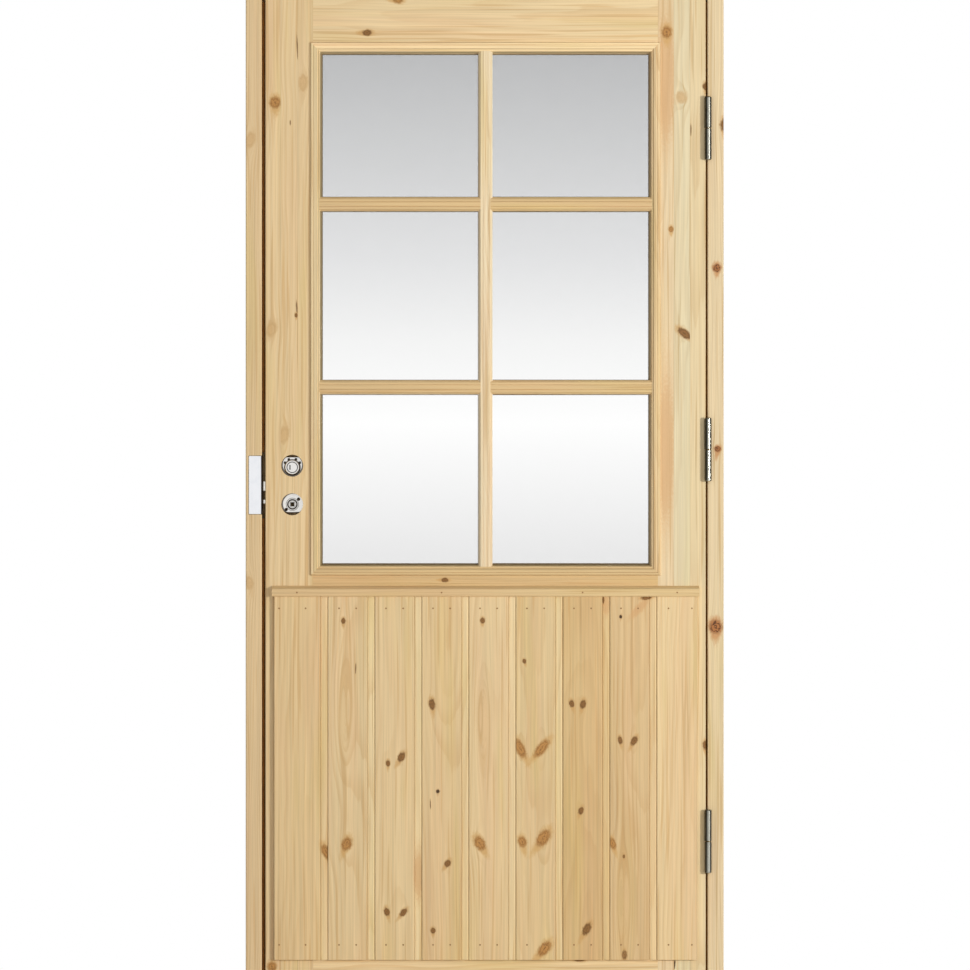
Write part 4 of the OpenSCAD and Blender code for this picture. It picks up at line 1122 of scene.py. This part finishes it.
@dataclass
class Cladding:
    """The tongued boards of the lower panel, the strip that caps them and their nails."""

    riser: tuple[float, float] = (-55.0, -52.5)
    seed: float = 50.0
    seed_step: float = 6.3
    pith_depth: float = 50.0
    depth_step: float = 17.0
    ring: float = 3.4
    ring_step: float = 0.5
    lean: float = 14.0
    knots: dict[int, tuple[Knot, ...]] = field(
        default_factory=lambda: {
            1: (Knot(LIVE, -295, 262, 7, 2.0, -25),),
            2: (
                Knot(DEAD, -263, 692, 4.2, 1.25),
                Knot(FLAME, -258, 526, 11, 4.0),
                Knot(SLIT, -240, 604, 1.2, 8.0, 3),
                Knot(LIVE, -257, 277, 9, 1.35, 20),
            ),
            3: (
                Knot(DEAD, -180, 427, 4.0, 1.4),
                Knot(DEAD, -155, 439, 6.0, 1.5, 30),
                Knot(RESIN, -123, 218, 8, 5.0, 0, 1.2),
                Knot(DEAD, -182, 151, 5.0, 1.5, -15),
                Knot(DEAD, -151, 150, 5.0, 1.6, 40),
            ),
            4: (
                Knot(DEAD, -98, 537, 5.6, 1.8, -8),
                Knot(PIN, -87, 375, 3.2, 1.1),
                Knot(SLIT, -101, 351, 1.1, 8.0, -2),
                Knot(DEAD, -69, 241, 5.4, 1.3, 35),
                Knot(DEAD, -96, 116, 4.6, 1.1),
            ),
            5: (
                Knot(DEAD, -4, 693, 4.3, 1.2),
                Knot(FLAME, -3, 507, 11, 4.0),
                Knot(LIVE, -9, 278, 9, 1.5, -30, 1.8),
            ),
            6: (
                Knot(DEAD, 74, 617, 3.6, 1.2, -15),
                Knot(LIVE, 66, 455, 8, 2.3, -27, 1.6),
                Knot(LIVE, 106, 455, 8, 2.4, 40, 1.6),
                Knot(LIVE, 70, 281, 7.5, 1.3, -14, 2.4),
                Knot(LIVE, 109, 288, 10, 1.7, 35, 1.8),
                Knot(LIVE, 111, 82, 9, 1.7, 40),
            ),
            7: (
                Knot(DEAD, 162, 538, 4.6, 1.5, -15),
                Knot(DEAD, 183, 537, 5.4, 1.5, 15),
                Knot(RESIN, 226, 722, 6, 3.0, 0, 1.2),
                Knot(DEAD, 221, 731, 2.0, 3.0, 0, 1.2),
                Knot(DEAD, 179, 339, 4.6, 1.5, 20),
                Knot(DEAD, 190, 119, 6.6, 1.8, 30),
            ),
            8: (
                Knot(PIN, 253, 700, 2.6, 1.3),
                Knot(RESIN, 287, 715, 7, 3.2, 42, 1.2),
                Knot(DEAD, 301, 736, 4.5, 2.2, 80, 1.2),
                Knot(DEAD, 252, 470, 4.0, 1.8, -12),
                Knot(DEAD, 278, 469, 5.4, 1.6, 28),
                Knot(LIVE, 238, 278, 5.6, 1.9, -18),
                Knot(DEAD, 259, 254, 2.2, 1.5),
                Knot(DEAD, 260, 71, 4.6, 1.8),
                Knot(FLAME, 259, 172, 11, 4.0),
            ),
        }
    )
    piths: tuple[float, ...] = (-330, -220, -165, -60, 30, 95, 180, 300, 400)
    tones: tuple[float, ...] = (1.0, 0.98, 0.98, 0.98, 0.99, 0.98, 0.98, 0.99, 1.01)
    washes: dict[int, Colour] = field(
        default_factory=lambda: {
            1: (0.97, 0.94, 0.90, 1.0), 4: (0.98, 0.96, 0.94, 1.0), 6: (0.96, 0.95, 0.92, 1.0),
            7: (0.88, 0.82, 0.71, 1.0), 8: (0.91, 0.86, 0.81, 1.0),
        }
    )

    def dress(self) -> None:
        """Gives each board its own length of pine, and the cap and the nails theirs."""
        for index, (pith, tone) in enumerate(zip(self.piths, self.tones), start=1):
            depth = self.pith_depth + self.depth_step * (index % 3)
            ring = self.ring + self.ring_step * (index % 4)
            board = Wood(
                f"board_{index}_pine", Grain.UPRIGHT, seed=self.seed + self.seed_step * index,
                pith=(pith, depth), ring=ring, lean=self.lean * (-1) ** index, tone=tone,
                pale=srgb(228, 201, 153), wash=self.washes.get(index, WHITE), riser=self.riser,
                shelf_end=self._next_start(index), knots=self.knots.get(index, ()),
            )
            dress(board, f"cladding_board_{index}")
        cap = Wood(
            "cap_pine", Grain.LEVEL, seed=43.7, pith=(690, 30), ring=2.6, contrast=0.3,
            wash=(0.90, 0.86, 0.78, 1.0),
        )
        dress(cap, "cap_strip")
        nail = Metal(
            "nail_steel", srgb(156, 112, 62), srgb(118, 82, 44), roughness=0.6, spread=0.2, cell_mm=2.0,
            metallic=0.0,
        )
        dress(nail, "cladding_nails")

    @staticmethod
    def _next_start(index: int) -> float | None:
        """Where the board beside this one begins, in millimetres, or None for the last."""
        name = f"cladding_board_{index + 1}"
        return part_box(name)[0].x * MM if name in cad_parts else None


@dataclass(frozen=True)
class BeadWood:
    """The wood of the beads along one edge of the glass, and the lines of painted shade along their moulding."""

    grain: Grain
    seed: float
    pale: Colour
    wash: Colour
    lines: tuple[Line, ...]


@dataclass
class Glazing:
    """Beads, glazing bars and the sealed pane."""

    sealant_shade_w: float = 0.0014
    sealant_shade_t: float = 0.0014
    clear: float = 0.00005
    brad_pitch: float = 0.19
    brad_r: float = 0.0009
    brad_t: float = 0.0005
    beads: dict[str, BeadWood] = field(
        default_factory=lambda: {
            "left": BeadWood(
                Grain.UPRIGHT, 65.9, srgb(236, 210, 164), (1.0, 1.03, 1.04, 1.0),
                (
                    Line(-304.7, 1.5, 0.8), Line(-309.4, 0.5, 0.4), Line(-313.6, 0.5, 0.35),
                    Line(-317.4, 0.5, 0.35),
                ),
            ),
            "right": BeadWood(
                Grain.UPRIGHT, 66.9, srgb(236, 210, 164), (0.97, 0.94, 0.90, 1.0),
                (Line(307.4, 1.3, 0.5), Line(312.6, 0.6, 0.45), Line(317.2, 0.6, 0.35)),
            ),
            "top": BeadWood(
                Grain.LEVEL, 64.9, srgb(234, 208, 162), (1.12, 1.13, 1.12, 1.0),
                (Line(1750.0, 1.2, 0.6), Line(1756.5, 0.5, 0.35)),
            ),
            "bottom": BeadWood(
                Grain.LEVEL, 67.9, srgb(234, 206, 158), (0.86, 0.83, 0.75, 1.0),
                (Line(796.4, 1.4, 0.85), Line(788.0, 0.5, 0.4)),
            ),
        }
    )
    # The outer pane's colour by height, grey at the foot and deepening grey towards the top: a painted
    # reflection.
    reflection_stops: tuple[tuple[float, Colour], ...] = (
        (0.0, (0.80, 0.80, 0.80, 1.0)),
        (0.28, WHITE),
        (0.44, (0.91, 0.91, 0.91, 1.0)),
        (0.60, (0.77, 0.77, 0.78, 1.0)),
        (0.80, (0.63, 0.63, 0.64, 1.0)),
        (1.0, (0.50, 0.50, 0.51, 1.0)),
    )
    clear_stops: tuple[tuple[float, Colour], ...] = ((0.0, WHITE), (1.0, (0.99, 1.0, 0.99, 1.0)))

    def dress(self) -> None:
        """Gives the mouldings and the sealed pane their finishes."""
        for edge, wood in self.beads.items():
            bead = Wood(
                f"bead_{edge}_pine", wood.grain, seed=wood.seed, pith=(330, 20), ring=2.4, contrast=0.5,
                pale=wood.pale, wash=wood.wash, lines=wood.lines,
            )
            dress(bead, f"outer_bead_{edge}", f"inner_bead_{edge}")
        bar = Wood(
            "cross_bar_pine", Grain.LEVEL, seed=71.1, pith=(1310, 30), ring=2.2, contrast=0.6,
            pale=srgb(218, 188, 138),
        )
        post = Wood(
            "vertical_bar_pine", Grain.UPRIGHT, seed=73.3, pith=(20, 30), ring=2.2, contrast=0.4,
            pale=srgb(238, 219, 182),
        )
        dress(bar, *(f"cross_bar_{index}" for index in range(1, 5)))
        dress(post, "vertical_bar")
        foot, top = (end.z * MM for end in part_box("outer_pane"))
        dress(PaneRamp("glass_painted_reflection", foot, top, self.reflection_stops), "outer_pane")
        dress(PaneRamp("clear_glass", foot, top, self.clear_stops), "inner_pane")
        self._sealant_with_shade()
        self._brads()
        spacer = Metal("spacer_aluminium", srgb(204, 205, 206), srgb(176, 178, 180), roughness=0.4)
        block = Filler("block_plastic", srgb(70, 74, 78), srgb(92, 96, 100), roughness=0.6, cell_mm=4.0)
        dress(spacer, "pane_spacer")
        dress(block, "setting_blocks")

    def _sealant_with_shade(self) -> None:
        """Lays a line of sealant round each of the six lights, open beside the bar in the right column; its dark
        grey also serves as painted shade at the glass's edge.
        """
        half = self.sealant_shade_w / 2
        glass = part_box("outer_pane")[0].y - self.sealant_shade_t / 2 - self.clear
        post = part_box("vertical_bar")
        columns = [(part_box("outer_bead_left")[1].x, post[0].x), (post[1].x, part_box("outer_bead_right")[0].x)]
        bars = sorted({tuple(round(end.z, 5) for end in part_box(f"cross_bar_{bar}")) for bar in range(1, 5)})
        foot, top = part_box("outer_bead_bottom")[1].z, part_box("outer_bead_top")[0].z
        ends = [foot, *(z for bar in bars for z in bar), top]
        base = Base()
        for column, (x0, x1) in enumerate(columns):
            for z0, z1 in zip(ends[::2], ends[1::2]):
                left, right, low, high = x0 + half, x1 - half, z0 + half, z1 - half
                base.path([(left, low), (right, low), (right, high), (left, high)], glass, closed=column == 0)
        # Sealant whose dark grey also stands in for the shade where the beads meet the glass: partly painted
        # shade.
        sealant_and_shade = Filler("sealant_and_shade_grey", srgb(118, 104, 80), srgb(98, 86, 64), roughness=0.7, cell_mm=6.0)
        strip = Trim("glazing_sealant_and_shade", {"Width": self.sealant_shade_w, "Depth": self.sealant_shade_t}).sweep()
        strip.build(base, sealant_and_shade.material(), "leaf", "seal_rubber")

    def _brads(self) -> None:
        """Sets a row of brads in each inner bead."""
        base = Base()
        for edge in self.beads:
            low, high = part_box(f"inner_bead_{edge}")
            middle = (low + high) / 2
            upright = high.z - low.z > high.x - low.x
            length = high.z - low.z if upright else high.x - low.x
            count = round(length / self.brad_pitch)
            for index in range(count):
                along = (index + 0.5) / count - 0.5
                x = middle.x if upright else middle.x + along * length
                z = middle.z + along * length if upright else middle.z
                base.points.append((x, high.y, z))
        steel = Metal(
            "brad_steel", srgb(150, 140, 122), srgb(110, 100, 84), roughness=0.4, spread=0.2, cell_mm=2.0
        )
        heads = Trim("inner_bead_brads", {"Radius": self.brad_r, "Depth": self.brad_t}).studs()
        heads.build(base, steel.material(), "leaf", "nail_steel")


@dataclass
class Ironmongery:
    """Hinges, lock, strike and screws."""

    # Depth in millimetres beyond which the lock is darkened: painted shade in its recesses and gaps.
    recess: float = -32.7
    # Axis and radius of the hinge knuckles, whose flanks get painted shade.
    knuckle: Barrel = Barrel(415.75, 6.5)
    # Dark rings on the lock: round the rims of the stile's holes and below the case they are painted shade;
    # round the plug, the cylinder and the hub they are dark joint lines.
    lock_rings: tuple[Ring, ...] = (
        Ring(-358.5, 983.0, 18.0, 30.0),
        Ring(-358.5, 978.0, 9.0, 10.6, 0.9),
        Ring(-358.5, 978.0, 13.6, 15.4, 0.85),
        Ring(-357.0, 909.7, 19.0, 30.0),
        Ring(-358.5, 909.0, 5.2, 8.2, 0.35),
        Ring(-358.5, 909.0, 8.4, 9.4, 0.8),
        Ring(-358.5, 909.0, 11.0, 12.1, 0.75),
        Ring(-358.5, 1094.6, 200.0, 260.0, 0.95),
    )
    # So wide a ring is a straight edge: it darkens the right end of the strike plate's lip, painted shade from
    # the gap beside it.
    strike_end_shade: Ring = Ring(-10416.4, 945.0, 10000.0, 10100.0, 0.9)

    def dress(self) -> None:
        """Gives the metal pieces their finishes."""
        nickel = Metal(
            "hinge_nickel", srgb(164, 163, 152), srgb(98, 92, 78), roughness=0.22, spread=0.1, cell_mm=9.0,
            barrel=self.knuckle,
        )
        bright = Metal(
            "lock_steel", srgb(236, 234, 230), srgb(198, 196, 192), roughness=0.28, spread=0.1, cell_mm=7.0,
            painted_shade_from=self.recess, rings=self.lock_rings,
        )
        bolt = Metal(
            "bolt_steel", srgb(244, 240, 232), srgb(220, 216, 208), roughness=0.3, spread=0.1, cell_mm=7.0
        )
        zinc = Metal(
            "strike_steel", srgb(242, 243, 246), srgb(222, 226, 232), roughness=0.36, spread=0.08,
            cell_mm=14.0, rings=(self.strike_end_shade,),
        )
        # The washers are brass; their dark colour is painted shade in the joints between the knuckles.
        brass = Metal("washer_brass", srgb(92, 74, 42), srgb(60, 48, 28), roughness=0.45)
        screw = Metal("screw_steel", srgb(198, 198, 192), srgb(150, 150, 146), roughness=0.3)
        places = ("top", "middle", "bottom")
        dress(nickel, *(f"{side}_hinge_{place}" for side in ("frame", "leaf") for place in places))
        dress(brass, "hinge_washers")
        dress(zinc, "strike_plate")
        dress(bright, "lock_case", "lock_cylinder", "spindle_hub", "cylinder_plug")
        dress(bolt, "lock_faceplate", "latch_bolt", "trigger_bolt")
        dress(screw, "frame_hardware_screws", "leaf_hardware_screws", "frame_corner_screws", "hinge_pins")


@dataclass
class Studio:
    """Floor, light and camera."""

    pixel: float = 0.001862
    image_width: int = 970
    camera_distance: float = 10.0
    camera_reach: float = 100.0
    sensor: float = 0.036
    aim: tuple[float, float, float] = (0.0006, -0.046, 0.945)
    sky: float = 0.16
    front_light: float = 0.82
    back_light: float = 0.80
    floor_light: float = 0.30
    room_back: float = 0.75
    room_front: float = 0.85
    room_fill: float = 0.12
    key_power: float = 184.0
    key_place: tuple[float, float, float] = (3.9, -4.1, 1.1)
    key_size: float = 0.5
    floor_reach: float = 1.7
    floor_front: float = -2.4
    floor_back: float = 0.4
    floor_colour: Colour = (0.9, 0.9, 0.9, 1.0)

    def build(self) -> None:
        """Sets the view transform, the floor, the light and the camera."""
        bpy.context.scene.view_settings.view_transform = "Standard"
        self._floor()
        self._world()
        self._key()
        self._camera()

    def _floor(self) -> None:
        """A pale floor that keeps the door's shadow."""
        ends = [(side * self.floor_reach, y) for y in (self.floor_front, self.floor_back) for side in (-1, 1)]
        mesh = bpy.data.meshes.new("floor")
        mesh.from_pydata([(x, y, 0.0) for x, y in ends], [], [(0, 1, 3, 2)])
        floor = bpy.data.objects.new("floor", mesh)
        bpy.context.scene.collection.objects.link(floor)
        material, sheet = new_sheet("floor_white")
        pale = sheet.node("ShaderNodeBsdfDiffuse", {}, {"Color": self.floor_colour}).outputs[0]
        seen = sheet.ray("Camera") + sheet.ray("Glossy") + sheet.ray("Transmission")
        glow = sheet.node("ShaderNodeEmission", {}, {"Strength": seen * (1.0 - self.floor_light)}).outputs[0]
        both = sheet.node("ShaderNodeAddShader", {}, {0: pale, 1: glow}).outputs[0]
        sheet.node("ShaderNodeOutputMaterial", {}, {"Surface": both})
        mesh.materials.append(material)

    def _world(self) -> None:
        """White behind the door, and a soft light from in front of it and from behind."""
        world = bpy.data.worlds.new("studio")
        world.use_nodes = True
        bpy.context.scene.world = world
        sheet = Sheet(world.node_tree)
        straight = sheet.ray("Camera") + sheet.ray("Transmission")
        mirrored = sheet.ray("Glossy")
        direction = sheet.node("ShaderNodeTexCoord").outputs["Generated"]
        split = sheet.node("ShaderNodeSeparateXYZ", {}, {0: direction})
        ahead = 0.0 - Value(sheet, split.outputs["Y"])
        room = ahead.fall(-0.2, 0.2) * self.room_back + ahead.rise(0.55, 0.95) * self.room_front
        room = room + self.room_fill
        soft = ahead.rise(0.35, 1.0) * self.front_light + ahead.fall(-1.0, -0.35) * self.back_light + self.sky

        def background(strength: Value | float) -> Socket:
            """A white background of one strength."""
            sockets = {"Color": WHITE, "Strength": strength}
            return sheet.node("ShaderNodeBackground", {}, sockets).outputs[0]

        def mix(share: Value, first: Socket, second: Socket) -> Socket:
            """The first light, and the second where the share is 1."""
            return sheet.node("ShaderNodeMixShader", {}, {0: share, 1: first, 2: second}).outputs[0]

        lit = mix(mirrored, background(soft), background(room))
        sheet.node("ShaderNodeOutputWorld", {}, {"Surface": mix(straight, lit, background(1.0))})

    def _key(self) -> None:
        """A soft lamp from the right."""
        lamp = bpy.data.lights.new("key", "AREA")
        lamp.energy = self.key_power
        lamp.size = self.key_size
        key = bpy.data.objects.new("key", lamp)
        key.location = self.key_place
        key.rotation_mode = "QUATERNION"
        key.rotation_quaternion = (Vector(self.aim) - Vector(self.key_place)).to_track_quat("-Z", "Y")
        bpy.context.scene.collection.objects.link(key)

    def _camera(self) -> None:
        """A long lens square to the door, framed as the photograph is."""
        lens = bpy.data.cameras.new("camera")
        lens.sensor_width = self.sensor * MM
        lens.lens = lens.sensor_width * self.camera_distance / (self.pixel * self.image_width)
        lens.clip_end = self.camera_reach
        camera = bpy.data.objects.new("camera", lens)
        camera.location = Vector(self.aim) + Vector((0.0, -self.camera_distance, 0.0))
        camera.rotation_euler = (math.radians(90.0), 0.0, 0.0)
        bpy.context.scene.collection.objects.link(camera)
        bpy.context.scene.camera = camera


def main() -> None:
    """Dresses the sub-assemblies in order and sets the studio."""
    logging.basicConfig(level=logging.INFO, format="%(name)s: %(message)s")
    FrameSet().dress()
    LeafFrame().dress()
    Cladding().dress()
    Glazing().dress()
    Ironmongery().dress()
    Studio().build()


if __name__ == "__main__":
    main()
